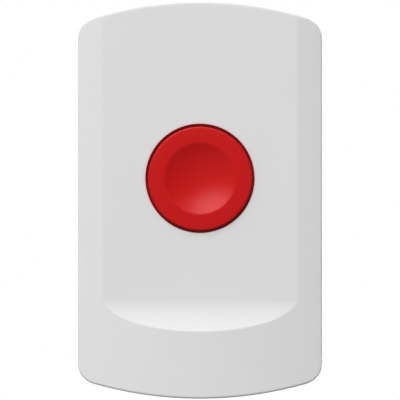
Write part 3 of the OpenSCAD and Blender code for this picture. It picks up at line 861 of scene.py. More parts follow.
# %% The tree that sweeps a wire
def wire_tree():
    tree, given = rule_tree("wire_on_path", ("Wire radius", "Sides", "Pressed", "Level"))
    path = Flow.node(tree, "GeometryNodeMeshToCurve", {"Mesh": given["Geometry"]})
    inputs = {"Resolution": given["Sides"], "Radius": given["Wire radius"]}
    section = Flow.node(tree, "GeometryNodeCurvePrimitiveCircle", inputs)
    inputs = {"Curve": path, "Profile Curve": section, "Fill Caps": True}
    tube = Flow.node(tree, "GeometryNodeCurveToMesh", inputs)
    scale = Flow.node(tree, "ShaderNodeCombineXYZ", {0: 1, 1: given["Pressed"], 2: 1})
    shift = Flow.node(tree, "ShaderNodeCombineXYZ", {1: given["Level"]})
    inputs = {"Geometry": tube, "Translation": shift, "Scale": scale}
    close_tree(tree, given, Flow.node(tree, "GeometryNodeTransform", inputs))
    return tree


WIRE_SIDES = 14.0
WIRE_SMOOTH = 60      # degrees: the sides of a wire look round, and its cut ends stay sharp
wire_on_path = wire_tree()


def wound(name, paths, wire_d, finish, pressed=1.0, out=0.0):
    points = np.concatenate(paths)
    ends = set(np.cumsum([len(path) for path in paths]) - 1)
    mesh = bpy.data.meshes.new(name)
    edges = [(i, i + 1) for i in range(len(points)) if i not in ends]
    mesh.from_pydata(on_wall(points).tolist(), edges, [])
    sizes = {"Wire radius": wire_d / 2 * MM, "Sides": WIRE_SIDES, "Pressed": pressed, "Level": -out * MM}
    piece = grow(name, mesh, wire_on_path, finish, sizes)
    outward(name, piece.data, WIRE_SMOOTH)
    return piece


def winding(count, steps):
    """The turns and the angle at each point of a wire, with so many steps in each turn."""
    turns = np.linspace(0, count, int(count * steps) + 1)
    return turns, 2 * math.pi * turns


print("wire_on_path has", len(wire_on_path.nodes), "nodes")

# %% [markdown]
# ### The return spring
# The spring that lifts the button is wound close at both ends, so that it stands flat, and open in between.
# Its path is one formula: the angle grows evenly, and the height grows only in the open turns. The share
# of its length that it would keep with the button pressed in is worked out from the joint's range.

# %% The return spring
SPRING_WIRE = 0.8
SPRING_TURNS = 3.5
CLOSED_TURNS = 0.8
SPRING_R = 5.9
TURN_STEPS = 48
spring_low, spring_high = reach("return_spring")


def spring_path():
    first, final = spring_low[2] + SPRING_WIRE / 2, spring_high[2] - SPRING_WIRE / 2
    turns, angle = winding(SPRING_TURNS, TURN_STEPS)
    rise = np.clip((turns - CLOSED_TURNS) / (SPRING_TURNS - 2 * CLOSED_TURNS), 0, 1)
    up = button_axis[1] + SPRING_R * np.sin(angle)
    return np.stack([SPRING_R * np.cos(angle), up, first + (final - first) * rise], axis=1)


coil = wound("return_coil", [spring_path()], SPRING_WIRE, spring_steel)
stands_for(coil, "return_spring")
spring_length = (spring_high[2] - spring_low[2]) * MM
press = next(joint for joint in frame["joints"] if joint["name"] == "button_press")
keep = 1 - press["range_m"][1] / spring_length
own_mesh(coil)
print("pressed, the spring keeps", round(keep, 3), "of its length")

# %% [markdown]
# ### The antenna and the cell's spring
# The antenna is a straight helix with a leg at each end, because a coiled wire takes less room than a
# straight one. The spring that presses on the cell is a cone, so that its turns can sink into each other.
# Both need only another formula for the path.

# %% The helix antenna and the cell's spring
ANTENNA_WIRE = 0.8
ANTENNA_TURNS = 12.5
ANTENNA_STEPS = 32
CELL_SPRING_WIRE = 0.7
CELL_SPRING_TURNS = 3
CELL_SPRING_RADII = (5.0, 2.4)      # it is a cone: at the contact strip and at the cell
antenna_low, antenna_high = reach("antenna")
contact_low, contact_high = reach("contact_spring")


def antenna_path():
    radius = (antenna_high[0] - antenna_low[0] - ANTENNA_WIRE) / 2
    right = (antenna_high[0] + antenna_low[0]) / 2
    out = antenna_high[2] - ANTENNA_WIRE / 2 - radius
    low_up, high_up = antenna_low[1] + ANTENNA_WIRE / 2, antenna_high[1] - ANTENNA_WIRE / 2
    turns, angle = winding(ANTENNA_TURNS, ANTENNA_STEPS)
    rise = low_up + (high_up - low_up) * turns / ANTENNA_TURNS
    helix = np.stack([right + radius * np.cos(angle), rise, out + radius * np.sin(angle)], axis=1)
    legs = [np.array([end[0], end[1], antenna_low[2]]) for end in (helix[0], helix[-1])]
    return np.concatenate([[legs[0]], helix, [legs[1]]])


def cell_spring_path():
    big, small = CELL_SPRING_RADII
    centre = (contact_low + contact_high) / 2
    turns, angle = winding(CELL_SPRING_TURNS, TURN_STEPS)
    share = turns / CELL_SPRING_TURNS
    radius = big + (small - big) * share - CELL_SPRING_WIRE / 2
    first, final = contact_low[0] + CELL_SPRING_WIRE / 2, contact_high[0] - CELL_SPRING_WIRE / 2
    right = first + (final - first) * share
    up, out = centre[1] + radius * np.sin(angle), centre[2] + radius * np.cos(angle)
    return np.stack([right, up, out], axis=1)


stands_for(wound("antenna_helix", [antenna_path()], ANTENNA_WIRE, copper_wire), "antenna")
stands_for(wound("cell_coil", [cell_spring_path()], CELL_SPRING_WIRE, spring_steel), "contact_spring")

# %% [markdown]
# ## What lies under the cover
# With the cover off, the base shows its board, its switch and its cell.
#
# ### Finishes in two parts
# Some pieces show two finishes side by side: a small capacitor has tinned ends, and the board shows its bare
# glass-fibre edge below the green. Such a finish needs no second mesh. A mask on the object's own
# directions says where each of the two is.

# %% Two finishes and a mask
GREEN_MASK = ((0.012, 0.13, 0.05), 0, 0.35)       # each: colour, metallic, roughness
GLASS_FIBRE = ((0.33, 0.29, 0.14), 0, 0.7)
BLACK = ((0.02, 0.02, 0.022), 0, 0.5)
TIN = ((0.68, 0.69, 0.7), 1.0, 0.38)
PART_ROUGH = 0.1
PART_GRAIN = 0.3
MASK_EDGE = 0.02      # mm: half the width of the edge between two finishes


def two_part(name, mask_of, one, other):
    look = Finish(name)
    mask = mask_of(*look.axes())
    stains = look.noise(STAIN_MM, detail=3)
    (colour_a, metal_a, rough_a), (colour_b, metal_b, rough_b) = one, other
    tones = (look.cloudy(stains, colour, 0.9, 1.1) for colour in (colour_a, colour_b))
    look.paint("Base Color", look.between(mask, *tones))
    if metal_a != metal_b:
        look.paint("Metallic", metal_a + (metal_b - metal_a) * mask)
    look.paint("Roughness", rough_a + (rough_b - rough_a) * mask + PART_ROUGH * (stains - 0.5))
    look.grain(look.noise(PART_GRAIN), SMALL_BUMP)
    return look.material


def beyond(length, limit):
    return length.step(limit - MASK_EDGE, limit + MASK_EDGE)


print("a finish in two parts changes over", 2 * MASK_EDGE, "mm")

# %% The board and the switch in two finishes each
MASK_T = 0.05         # the green goes so far down the board's edge
PLATE_T = 0.4         # the thickness of the switch's metal plate
board_low, board_high = reach("circuit_board")
board_top = board_high[2]
switch_low, switch_high = reach("switch_body")


def bare_edge(right, up, out):
    return beyond(-abs(out - (board_low[2] + board_top) / 2), -(board_top - board_low[2]) / 2 + MASK_T)


def metal_plate(right, up, out):
    return beyond(out, switch_high[2] - PLATE_T)


board_finish = two_part("board_green", bare_edge, GREEN_MASK, GLASS_FIBRE)
switch_finish = two_part("switch_and_plate", metal_plate, BLACK, TIN)
nodes["circuit_board"].data.materials.clear()
nodes["circuit_board"].data.materials.append(board_finish)
print("the board's top lies", round(board_top, 2), "mm out")

# %% [markdown]
# ### Moulded and pressed edges
# The base, the retainer, the holder, the switch and the contact strips have the right shape already. But no
# moulded or pressed edge is knife-sharp, and the thin highlight along an edge makes a piece look real. A
# copy of the CAD mesh is merged and its flat triangles are joined, and then a Bevel modifier rounds the
# edges.

# %% Copies with rounded edges
SHARP = 30            # degrees: a fold that is sharper counts as an edge
FLAT = 1              # and one that is smaller counts as none
SAME_POINT = 0.001    # mm


def softened(name, node, finish, edge_mm):
    whole = bmesh.new()
    whole.from_mesh(nodes[node].data)
    bmesh.ops.remove_doubles(whole, verts=whole.verts, dist=SAME_POINT * MM)
    bmesh.ops.dissolve_limit(whole, angle_limit=math.radians(FLAT), verts=whole.verts, edges=whole.edges)
    mesh = bpy.data.meshes.new(name)
    whole.to_mesh(mesh)
    whole.free()
    mesh.materials.append(finish)
    smooth(mesh, SHARP)
    piece = shown(name, mesh)
    bevel = piece.modifiers.new("edges", "BEVEL")
    bevel.width = edge_mm * MM
    bevel.segments = 2
    bevel.limit_method = "ANGLE"
    bevel.angle_limit = math.radians(SHARP)
    even_shading(piece)
    stands_for(piece, node)
    print(name, "has", len(piece.data.polygons), "faces")


for name, node, finish, edge_mm in (
    ("wall_base", "rear_base", base_white, 0.25),
    ("retainer_plate", "button_retainer", natural_plastic, 0.25),
    ("cell_cradle", "cell_holder", black_plastic, 0.3),
    ("switch_housing", "switch_body", switch_finish, 0.15),
    ("switch_button", "switch_plunger", black_plastic, 0.3),
    ("positive_strip", "positive_contact", tinned_metal, 0.1),
    ("negative_strip", "negative_contact", tinned_metal, 0.1),
):
    softened(name, node, finish, edge_mm)

# %% [markdown]
# ### Blocks with rounded tops
# Most parts on a board are an outline that goes straight up and rounds off at the top, with a hole or a
# dimple there. `prism` stacks rows of one outline, each with its own inset and level, and cuts the top.

# %% Stacked outlines
QUADRANTS = ((1, 1), (-1, 1), (-1, -1), (1, -1))
LEAST_CORNER = 0.02


def box_outline(centre, width, length, corner_r, steps=5):
    def at(inset):
        r = max(corner_r - inset, LEAST_CORNER)
        half = np.array([width, length]) / 2 - inset - r
        points = []
        for i, (a, b) in enumerate(QUADRANTS):
            for turn in np.linspace(i, i + 1, steps + 1) * math.pi / 2:
                arm = np.array([a * half[0] + r * math.cos(turn), b * half[1] + r * math.sin(turn)])
                points.append(np.asarray(centre) + arm)
        return points
    return at


def round_top(low, high, edge):
    return [(0, low), *((inset, high - drop) for inset, drop in [*quarter(edge, 3)][::-1])]


def prism(name, outline, levels, finish, cuts=(), place=standing()):
    plan = Plan()
    rows = [plan.add(outline(inset), level=level) for inset, level in levels]
    plan.grid(rows, closed=True)
    plan.faces.append(rows[0])
    loops = []
    for cut in cuts:
        walls = [plan.add(points, level=level) for points, level in cut]
        plan.grid(walls, closed=True)
        plan.faces.append(walls[-1])
        loops.append(walls[0])
    if loops:
        plan.fill(rows[-1], *loops)
    else:
        plan.faces.append(rows[-1])
    points = [place(*point, value[2]) for point, value in zip(plan.points, plan.values)]
    return closed_piece(name, points, plan.faces, finish)


print("round_top(0, 1, 0.2) gives", len(round_top(0, 1, 0.2)), "rows")

# %% [markdown]
# ### Shield, crystal and chip
# The shield is a drawn sheet with vents that stands over the radio. The crystal's case has a flange where it
# was welded shut, and the chip was moulded in two halves that meet part of the way up. Bevels on plain boxes
# would round all their edges alike, so each gets rows of its own.

# %% The radio's shield, the crystal and the microcontroller
SHEET_BEND = 0.35     # the rounding of a pressed metal edge
VENT_GRID = (-3, 0, 3)
VENT_R = 0.5
VENT_DEPTH = 0.6
FLANGE_RIM = 0.3      # the crystal's flange stands out by so much
DIMPLE_IN = 1.1       # the dimple that marks the chip's first leg, from both sides
DIMPLE_R = 0.5


def middle(node):
    low, high = reach(node)
    return (low + high) / 2, high - low, high[2]


def sheet_shield():
    centre, size, top = middle("radio_shield")
    holes = [circle(centre[:2] + (a, b), VENT_R, 16) for a in VENT_GRID for b in VENT_GRID]
    vents = [[(hole, top), (hole, top - VENT_DEPTH)] for hole in holes]
    outline = box_outline(centre[:2], *size[:2], corner_r=0.8)
    return prism("shield_can", outline, round_top(board_top, top, SHEET_BEND), tinned_metal, vents)


def crystal_case():
    centre, size, top = middle("crystal")
    outline = box_outline(centre[:2], *size[:2], corner_r=size[1] / 2 - 0.01, steps=10)
    flange = [(0, board_top), (0, board_top + 0.35), (FLANGE_RIM, board_top + 0.45)]
    body = [(FLANGE_RIM + inset, level) for inset, level in round_top(board_top + 0.6, top, SHEET_BEND)]
    return prism("crystal_case", outline, flange + body, tinned_metal)


def moulded_chip():
    centre, size, top = middle("microcontroller")
    low = top - size[2]
    first_leg = centre[:2] + (-size[0] / 2 + DIMPLE_IN, size[1] / 2 - DIMPLE_IN)
    dimple = [(circle(first_leg, DIMPLE_R - inset, 20), top - drop) for inset, drop in ((0, 0), (0.08, 0.09))]
    levels = [(0.18, low), (0, low + 0.5), (0, low + 0.62), (0.12, top - 0.05), (0.17, top)]
    outline = box_outline(centre[:2], *size[:2], corner_r=0.15)
    return prism("chip_body", outline, levels, black_plastic, [dimple])


for piece, node in (
    (sheet_shield(), "radio_shield"),
    (crystal_case(), "crystal"),
    (moulded_chip(), "microcontroller"),
):
    even_shading(piece)
    stands_for(piece, node)

# %% [markdown]
# ### Turned pieces
# The storage capacitor's can is crimped above its foot, and half of its top is dark to mark its poles. The
# cell is a drawn can in a thin sleeve that shrank over its shoulders. Both are swept like the button's cap.

# %% The storage capacitor
CAN_R = 3.15
CAN_STEPS = 64
TOP_DIP = 0.08        # the can's top lies so far below its rim
CRIMP_UP = 1.75       # the middle of the crimp, above the board
CRIMP = 0.25          # its depth, and half its height
CAN_UP = 0.75         # the can's lower end, above the board
DIP_RADII = (2.5, 2.7)
DARK_FROM = (0.95, 1.0)        # right of the middle: where the dark mark starts
DARK_DOWN = (0.14, 0.12)       # below the rim: the mark lies on the top alone
ALUMINIUM = ((0.75, 0.76, 0.77), 1.0, 0.32)
DARK_MARK = ((0.02, 0.02, 0.025), 0, 0.5)
capacitor_mid, capacitor_size, capacitor_top = middle("storage_capacitor")


def dark_half(right, up, out):
    on_top = out.step(*(capacitor_top - drop for drop in DARK_DOWN))
    return (right - capacitor_mid[0]).step(*DARK_FROM) * on_top


can_finish = two_part("can_with_mark", dark_half, ALUMINIUM, DARK_MARK)
crimp_out = board_top + CRIMP_UP
can_profile = rounded([
    (0, capacitor_top - TOP_DIP, 0),
    (DIP_RADII[0], capacitor_top - TOP_DIP, 0.08),
    (DIP_RADII[1], capacitor_top, 0.1),
    (CAN_R, capacitor_top, 0.35),
    (CAN_R, crimp_out + CRIMP, 0.12),
    (CAN_R - CRIMP, crimp_out, 0.15),
    (CAN_R, crimp_out - CRIMP, 0.12),
    (CAN_R, board_top + CAN_UP, 0.1),
    (0, board_top + CAN_UP, 0),
])
can = swept("capacitor_can", can_profile, can_finish, standing(capacitor_mid), CAN_STEPS)
stands_for(can, "storage_capacitor")

# %% Its foot
foot_outline = box_outline(capacitor_mid[:2], *capacitor_size[:2], corner_r=0.7)
foot_levels = [(inset, board_top + up) for inset, up in ((0.1, 0), (0, 0.1), (0, 0.6), (0.2, 0.8))]
foot = prism("capacitor_foot", foot_outline, foot_levels, black_plastic)
even_shading(foot)
added_to_base(foot)

# %% The cell and its sleeve
cell_mid, cell_size, _ = middle("cell_can")
cell_start, cell_end = (value[0] for value in reach("cell_can"))
TERMINAL_H = 1.0
TERMINAL_R = 3.2
GROOVE_RADII = (5.3, 4.1)      # of the groove round the terminal
CAN_IN = 0.15         # the can ends so far inside its sleeve
SLEEVE_T = 0.12
SLEEVE_OPEN_R = (7, 6.8)       # of the sleeve's open ends
PLUS_UP = 2.4
PLUS_ALONG = 5
PLUS_LONG = 1.6
PLUS_WIDE = 0.32
PRINT_BLUE = ((0.03, 0.1, 0.28), 0, 0.3)
PRINT_PALE = ((0.75, 0.75, 0.72), 0, 0.35)
sleeve_r = middle("cell_sleeve")[1][1] / 2
can_r = cell_size[1] / 2
shoulder = cell_end - TERMINAL_H


def along_cell(a, b, c):
    return c, cell_mid[1] + a, cell_mid[2] + b


def within(length, limit):
    return length.step(limit + MASK_EDGE, limit - MASK_EDGE)


def plus_mark(right, up, out):
    across, along = abs(up - cell_mid[1] - PLUS_UP), abs(right - shoulder + PLUS_ALONG)
    arms = ((across, along), (along, across))
    bars = [within(long, PLUS_LONG) * within(wide, PLUS_WIDE) for long, wide in arms]
    return bars[0].math("MAXIMUM", *bars) * out.step(cell_mid[2], cell_mid[2] + 0.1)


sleeve_finish = two_part("sleeve_blue", plus_mark, PRINT_BLUE, PRINT_PALE)
groove_r, land_r = GROOVE_RADII
cell_profile = rounded([
    (0, cell_start + CAN_IN, 0),
    (can_r, cell_start + CAN_IN, 0.7),
    (can_r, shoulder - CAN_IN, 0.8),
    (groove_r, shoulder - CAN_IN, 0.1),
    (groove_r, shoulder - 0.5, 0.1),
    (land_r, shoulder - 0.5, 0.1),
    (land_r, shoulder - 0.1, 0.1),
    (TERMINAL_R, shoulder - 0.1, 0.1),
    (TERMINAL_R, cell_end, 0.4),
    (0, cell_end, 0),
])
inner_r = sleeve_r - SLEEVE_T
start_r, end_r = SLEEVE_OPEN_R
sleeve_profile = rounded([
    (start_r, cell_start, 0),
    (sleeve_r, cell_start, 0.7),
    (sleeve_r, shoulder, 0.8),
    (end_r, shoulder, 0),
    (end_r, shoulder - SLEEVE_T, 0),
    (inner_r, shoulder - SLEEVE_T, 0.68),
    (inner_r, cell_start + SLEEVE_T, 0.58),
    (start_r, cell_start + SLEEVE_T, 0),
    (start_r, cell_start, 0),
])
stands_for(swept("cell_can_drawn", cell_profile, bare_can, along_cell), "cell_can")
stands_for(swept("cell_sleeve_shrunk", sleeve_profile, sleeve_finish, along_cell), "cell_sleeve")

# %% [markdown]
# ### What repeats
# Screws, legs, pads and the smallest parts are one shape each, copied to many places. A tree puts the
# pattern on every point of a mesh, turned and sized by two values that each point carries.

# %% The tree that copies a pattern
COPY_VALUES = ("turn", "size")


def copies_tree():
    tree, given = rule_tree("copies_on_points", ("Pattern",))
    pattern = Flow.node(tree, "GeometryNodeObjectInfo", {"Object": given["Pattern"]}, output="Geometry")
    turn, size = (stored(tree, name, "FLOAT_VECTOR") for name in COPY_VALUES)
    turn = Flow.node(tree, "FunctionNodeEulerToRotation", {0: turn})
    inputs = {"Points": given["Geometry"], "Instance": pattern, "Rotation": turn, "Scale": size}
    close_tree(tree, given, Flow.node(tree, "GeometryNodeInstanceOnPoints", inputs))
    return tree


copies_on_points = copies_tree()


def copied(name, pattern, places, finish, turns=0.0, sizes=1.0):
    """Places are right, up and out; turns are about the out axis, and sizes stretch right, up and out."""
    points = bpy.data.meshes.new(name)
    points.from_pydata(on_wall(places).tolist(), [], [])
    about = np.zeros((len(places), 3))
    about[:, 1] = -np.broadcast_to(turns, len(places))
    stretch = np.broadcast_to(sizes, (len(places), 3))[:, (0, 2, 1)]
    for attribute, values in zip(COPY_VALUES, (about, stretch)):
        data = points.attributes.new(attribute, "FLOAT_VECTOR", "POINT").data
        data.foreach_set("vector", np.ascontiguousarray(values).ravel())
    piece = grow(name, points, copies_on_points, finish, {"Pattern": pattern})
    forget(piece.data, COPY_VALUES)
    bpy.data.objects.remove(pattern)
    smooth(piece.data)
    even_shading(piece)
    print(name, "has", len(places), "copies and", len(piece.data.polygons), "faces")
    return piece


print("copies_on_points has", len(copies_on_points.nodes), "nodes")

# %% [markdown]
# ### Screws
# A pan-head screw has a domed head with a cross in it. A Boolean modifier could cut the cross, but it leaves
# long thin faces. Here the screw's profile gives the rows of a prism, and the cross is a cut in its top.
# Screws never stop at the same angle, so each has a turn of its own.

# %% The screws
HEAD_R = 2.5
HEAD_H = 1.8
SHANK_R = 1.3
TIP_R = 0.8
TIP_L = 0.6
TOP_R = 1.6           # the flat part of the head's top
RECESS_DEPTH = 0.95


def cross_outline(long, wide):
    arm = [(long, -wide), (long, wide), (wide, wide)]
    turned = [(math.cos(t), math.sin(t)) for t in np.arange(4) * math.pi / 2]
    return [(a * c - b * s, a * s + b * c) for c, s in turned for a, b in arm]


def pan_head_screw(length, facing):
    profile = rounded([
        (TIP_R, -length, 0),
        (SHANK_R, -length + TIP_L, 0),
        (SHANK_R, 0, 0),
        (HEAD_R, 0, 0.12),
        (HEAD_R, HEAD_H, 0.85),
        (TOP_R, HEAD_H, 0),
    ])
    mouth, floor_of_it = cross_outline(long=1.4, wide=0.36), cross_outline(long=1.0, wide=0.26)
    recess = [(mouth, HEAD_H), (floor_of_it, HEAD_H - RECESS_DEPTH)]
    levels = [(HEAD_R - radius, level) for radius, level in profile]

    def outline(inset):
        return circle((0, 0), HEAD_R - inset, 40)

    def place(a, b, c):
        return a, facing * b, facing * c

    return prism("screw", outline, levels, zinc_steel, [recess], place)


board_screw_low, board_screw_high = reach("board_screws")
screw_right = board_screw_high[0] - HEAD_R
places = [
    (side * screw_right, up, board_top)
    for side in (-1, 1) for up in (board_screw_low[1] + HEAD_R, board_screw_high[1] - HEAD_R)
]
pattern = pan_head_screw(board_top - board_screw_low[2], 1)
screws = copied("board_pan_screws", pattern, places, zinc_steel, turns=(0.4, 1.1, 0.2, 0.8))
stands_for(screws, "board_screws")

retainer_back = reach("button_retainer")[0][2]
places = [(*centre, retainer_back) for centre in post_centres]
pattern = pan_head_screw(reach("retainer_screws")[1][2] - retainer_back, -1)
screws = copied("retainer_pan_screws", pattern, places, zinc_steel, turns=(0.3, 0.9, 0.1))
stands_for(screws, "retainer_screws")

# %% [markdown]
# ### Legs
# A leg is punched from tinned sheet and bent twice, so that its foot lies flat on the board. A flat section
# could be swept along a curve, but the side view has only eight points, so it is drawn once and made as deep
# as the leg is wide.

# %% Bent legs
LEG_ROOT = 0.25       # how far a leg reaches into the body
CHIP_PITCH = 0.8
SWITCH_LEG = (4, 2)   # right and up from the middle of the switch


def bent_leg(name, length, width, rise, thick):
    """A strip that leaves the body level, bends down to the board and ends in a flat foot."""
    bend = 0.35 * length
    high = rise + thick
    upper = [(-LEG_ROOT, high), (0.25 * bend, high), (bend + thick, 1.3 * thick), (length, thick)]
    lower = [(-LEG_ROOT, rise), (0.1 * bend, rise), (bend, 0.15 * thick), (length, 0)]
    side = upper[::-1] + lower
    ends = [(0, -width / 2), (0, width / 2)]
    return prism(name, lambda inset: side, ends, tinned_metal, place=lambda a, b, c: (a, c, b))


chip_mid, chip_size, _ = middle("microcontroller")
row = (np.arange(7) - 3) * CHIP_PITCH
quarter_turns = np.repeat(np.arange(4) * math.pi / 2, len(row))
across = np.tile(row, 4)
out_from = chip_size[0] / 2
chip_feet = np.stack([
    chip_mid[0] + out_from * np.cos(quarter_turns) - across * np.sin(quarter_turns),
    chip_mid[1] + out_from * np.sin(quarter_turns) + across * np.cos(quarter_turns),
    np.full(len(across), board_top),
], axis=1)
pattern = bent_leg("chip_leg", length=0.9, width=0.35, rise=0.55, thick=0.14)
legs = copied("chip_legs", pattern, chip_feet, tinned_metal, turns=quarter_turns)
stands_for(legs, "microcontroller_legs")

switch_mid = (switch_low + switch_high) / 2
leg_right, leg_up = SWITCH_LEG
switch_feet = [
    (side * leg_right, switch_mid[1] + rise * leg_up, board_top) for side in (1, -1) for rise in (1, -1)
]
pattern = bent_leg("switch_leg", length=1.6, width=1.0, rise=1.1, thick=0.25)
legs = copied("switch_bent_legs", pattern, switch_feet, tinned_metal, turns=(0, 0, math.pi, math.pi))
stands_for(legs, "switch_legs")

# %% [markdown]
# ### The smallest parts
# Chip capacitors and resistors are small blocks with tinned ends. All of a row are alike, so one block is
# copied along it, and the mask of its finish tins both ends of every copy.

# %% Small capacitors and resistors
SMALL_RIGHT = -4.1 + 2.6 * np.arange(6)
SMALL_W = 1.2
SMALL_L = 2.0
SMALL_BODY = 0.62     # half the length between the tinned ends
SMALL_EDGE = 0.12


def small_row(name, node, colour):
    centre, _, top = middle(node)

    def tinned_ends(right, up, out):
        return beyond(abs(up - centre[1]), SMALL_BODY)

    finish = two_part(name + "_finish", tinned_ends, (colour, 0, 0.5), TIN)
    outline = box_outline((0, 0), SMALL_W, SMALL_L, SMALL_EDGE, steps=3)
    pattern = prism("small_part", outline, round_top(0, top - board_top, SMALL_EDGE), finish)
    places = [(right, centre[1], board_top) for right in SMALL_RIGHT]
    stands_for(copied(name, pattern, places, finish), node)
    return centre[1]


capacitor_up = small_row("small_capacitors", "chip_capacitors", (0.42, 0.3, 0.19))
resistor_up = small_row("small_resistors", "chip_resistors", (0.025, 0.025, 0.028))

# %% [markdown]
# ### The board's surface
# Copper tracks run under the green mask as low ridges, tinned pads and vias lie bare, and white print marks
# where the parts go. Tracks and print are lines, so the tree that sweeps a wire lays them: each wire is
# pressed so flat that only a low, wide ridge of it stands out of the board.

# %% Tracks
def low_ridges(name, paths, width, rise, finish):
    lines = [[(right, up, 0) for right, up in path] for path in paths]
    added_to_base(wound(name, lines, width, finish, pressed=2 * rise / width, out=board_top))


TRACKS = [
    [(-19, -13.4), (-16.4, -13.4), (-13.9, -10.9), (-13.9, -8.8)],
    [(-12.3, -8.8), (-12.3, -10.6)],
    [(-10.7, -8.8), (-10.7, -10.6), (-9.4, -11.9), (2, -11.9)],
    [(-9.1, -8.8), (-9.1, -9.6), (-8, -10.7), (3, -10.7)],
    [(-7.2, -1.9), (-6, -1.9), (-4.3, -0.2), (-4.1, -0.2)],
    [(-7.2, -2.7), (-4.4, -2.7), (-4.1, -2.4)],
    [(-7.2, -3.5), (-4.4, -3.5), (-4.1, -3.2)],
    [(-7.2, -5.1), (-4.4, -5.1), (-4.1, -5.4)],
    [(-4.1, -7.2), (10.2, -7.2), (16.4, -13.4), (18.8, -13.4)],
    [(-1.5, 1.1), (10.5, 1.1), (11.8, 2.4), (11.8, 13.6), (9.1, 16.3)],
    [(8.85, 23.2), (8.85, 24.3)],
    [(6.2, 28), (2.85, 31.35), (-12, 31.35), (-14.5, 28.85), (-14.5, 26.4)],
    [(-5.6, 4.2), (-6.4, 4.2), (-9.1, 1.5), (-9.1, 0.2)],
    [(5.6, 8.2), (7.4, 8.2), (9.4, 10.2), (9.4, 12.4)],
    [(-11.5, 4.2), (-11.5, 0.2)],
    [(-13.1, 4.2), (-13.1, 0.2)],
    [(-15.8, -3.5), (-17.6, -3.5), (-18.9, -2.2), (-18.9, 10.6), (-17.6, 11.9), (-17.6, 13.2)],
    [(-15.8, -2.7), (-16.9, -2.7), (-18.1, -1.5), (-18.1, 10.2), (-15.9, 12.4), (-15.9, 13.2)],
    [(-5, 23.5), (4, 23.5), (5.8, 25.3), (13.6, 25.3), (15.4, 23.5)],
    [(19.6, 2.2), (19.6, -3.4)],
]
TRACKS += [[(right, -0.2), (right, 1.1)] for right in SMALL_RIGHT[1:]]
TRACKS += [[(right, -2.4), (right, -3.2)] for right in SMALL_RIGHT[1:]]
TRACKS += [[(right, -5.4), (right, -7.2)] for right in SMALL_RIGHT]
track_green = moulded("track_green", (0.028, 0.2, 0.08), 0.35, 0.6, cloud=0.1)
low_ridges("board_tracks", TRACKS, width=0.5, rise=0.05, finish=track_green)

# %% Print
RING_R = 4.3


def corner_marks(centre, width, length, tick):
    for a, b in QUADRANTS:
        point = np.array([centre[0] + a * width / 2, centre[1] + b * length / 2])
        yield [point - (a * tick, 0), point, point - (0, b * tick)]


ring = circle(capacitor_mid, RING_R, 48)
PRINT = [
    *corner_marks(switch_mid, 9.4, 9.4, tick=1.2),
    *corner_marks(chip_mid, 10.2, 10.2, tick=1.2),
    *corner_marks(middle("crystal")[0], 11.8, 5, tick=1.5),
    [*ring, ring[0]],
    [(15.2, -14.2), (17, -14.2)],
    [(16.1, -13.3), (16.1, -15.1)],
    [(-17, -14.2), (-15.2, -14.2)],
]
print_white = moulded("print_white", (0.72, 0.72, 0.7), 0.6, 0.4)
low_ridges("board_print", PRINT, width=0.25, rise=0.04, finish=print_white)

# %% [markdown]
# ### Pads, vias, rivets and solder
# Every leg stands on a tinned pad. Vias join the tracks on the two sides of the board, four melted rivets
# hold the switch's plate, and solder rises round each wire that goes through the board. A texture could show
# them, but they catch the light as low bumps, so each is a small shape that is copied to its places.

# %% Pads
PAD_H = 0.06
PAD_CORNER = 0.12
CHIP_PAD_OUT = 0.75   # from the side of the chip to the middle of a pad
SWITCH_PAD_OUT = 1.4
CAPACITOR_PAD_UP = 3.6
TAIL_RIGHT = 19.5     # where the tails of the cell's contacts come through the board
TAIL_UP = -13.6
TAIL_PAD_UP = -13.9


def on_board(places):
    return [(*place, board_top) for place in places]


pads = [      # each: the place of its middle, its turn and its size
    ((right, up + side), 0, (1.4, 0.8))
    for right in SMALL_RIGHT for up in (capacitor_up, resistor_up) for side in (1, -1)
]
for foot_at, turn in zip(chip_feet[:, :2], quarter_turns):
    pads.append((foot_at + CHIP_PAD_OUT * np.array([math.cos(turn), math.sin(turn)]), turn, (1.2, 0.5)))
for right, up, _ in switch_feet:
    pads.append(((right + math.copysign(SWITCH_PAD_OUT, right), up), 0, (1.6, 1.5)))
for side in (1, -1):
    pads.append(((capacitor_mid[0], capacitor_mid[1] + side * CAPACITOR_PAD_UP), 0, (1.8, 1.8)))
for side in (1, -1):
    pads.append(((side * TAIL_RIGHT, TAIL_PAD_UP), 0, (1.8, 2.8)))
pad_places, pad_turns, pad_sizes = zip(*pads)
pad_outline = box_outline((0, 0), 1, 1, PAD_CORNER, steps=2)
pattern = prism("pad", pad_outline, round_top(0, PAD_H, PAD_H / 2), tinned_metal)
stretched = [(*size, 1) for size in pad_sizes]
pads = copied("board_pads", pattern, on_board(pad_places), tinned_metal, pad_turns, stretched)
added_to_base(pads)

# %% Vias
VIA_R = 0.45
VIA_H = 0.05
VIA_ROW_UP = 35.2     # a row along the upper edge of the board, and a column along each side
VIA_COLUMN_RIGHT = 21.7
vias = [
    (-12.3, -10.6), (2, -11.9), (3, -10.7), (8.85, 24.3),
    (6.2, 28), (9.4, 12.4), (19.6, -3.4), (-7.2, 11.4),
]
vias += [(right, VIA_ROW_UP) for right in np.arange(-14, 15, 4)]
vias += [(side * VIA_COLUMN_RIGHT, up) for side in (-1, 1) for up in np.arange(-2, 29, 6)]
via_profile = rounded([(0, 0, 0), (VIA_R, 0, 0), (VIA_R, VIA_H, VIA_H / 2), (0, VIA_H, 0)], 2)
pattern = swept("via", via_profile, tinned_metal, steps=16)
added_to_base(copied("board_vias", pattern, on_board(vias), tinned_metal))

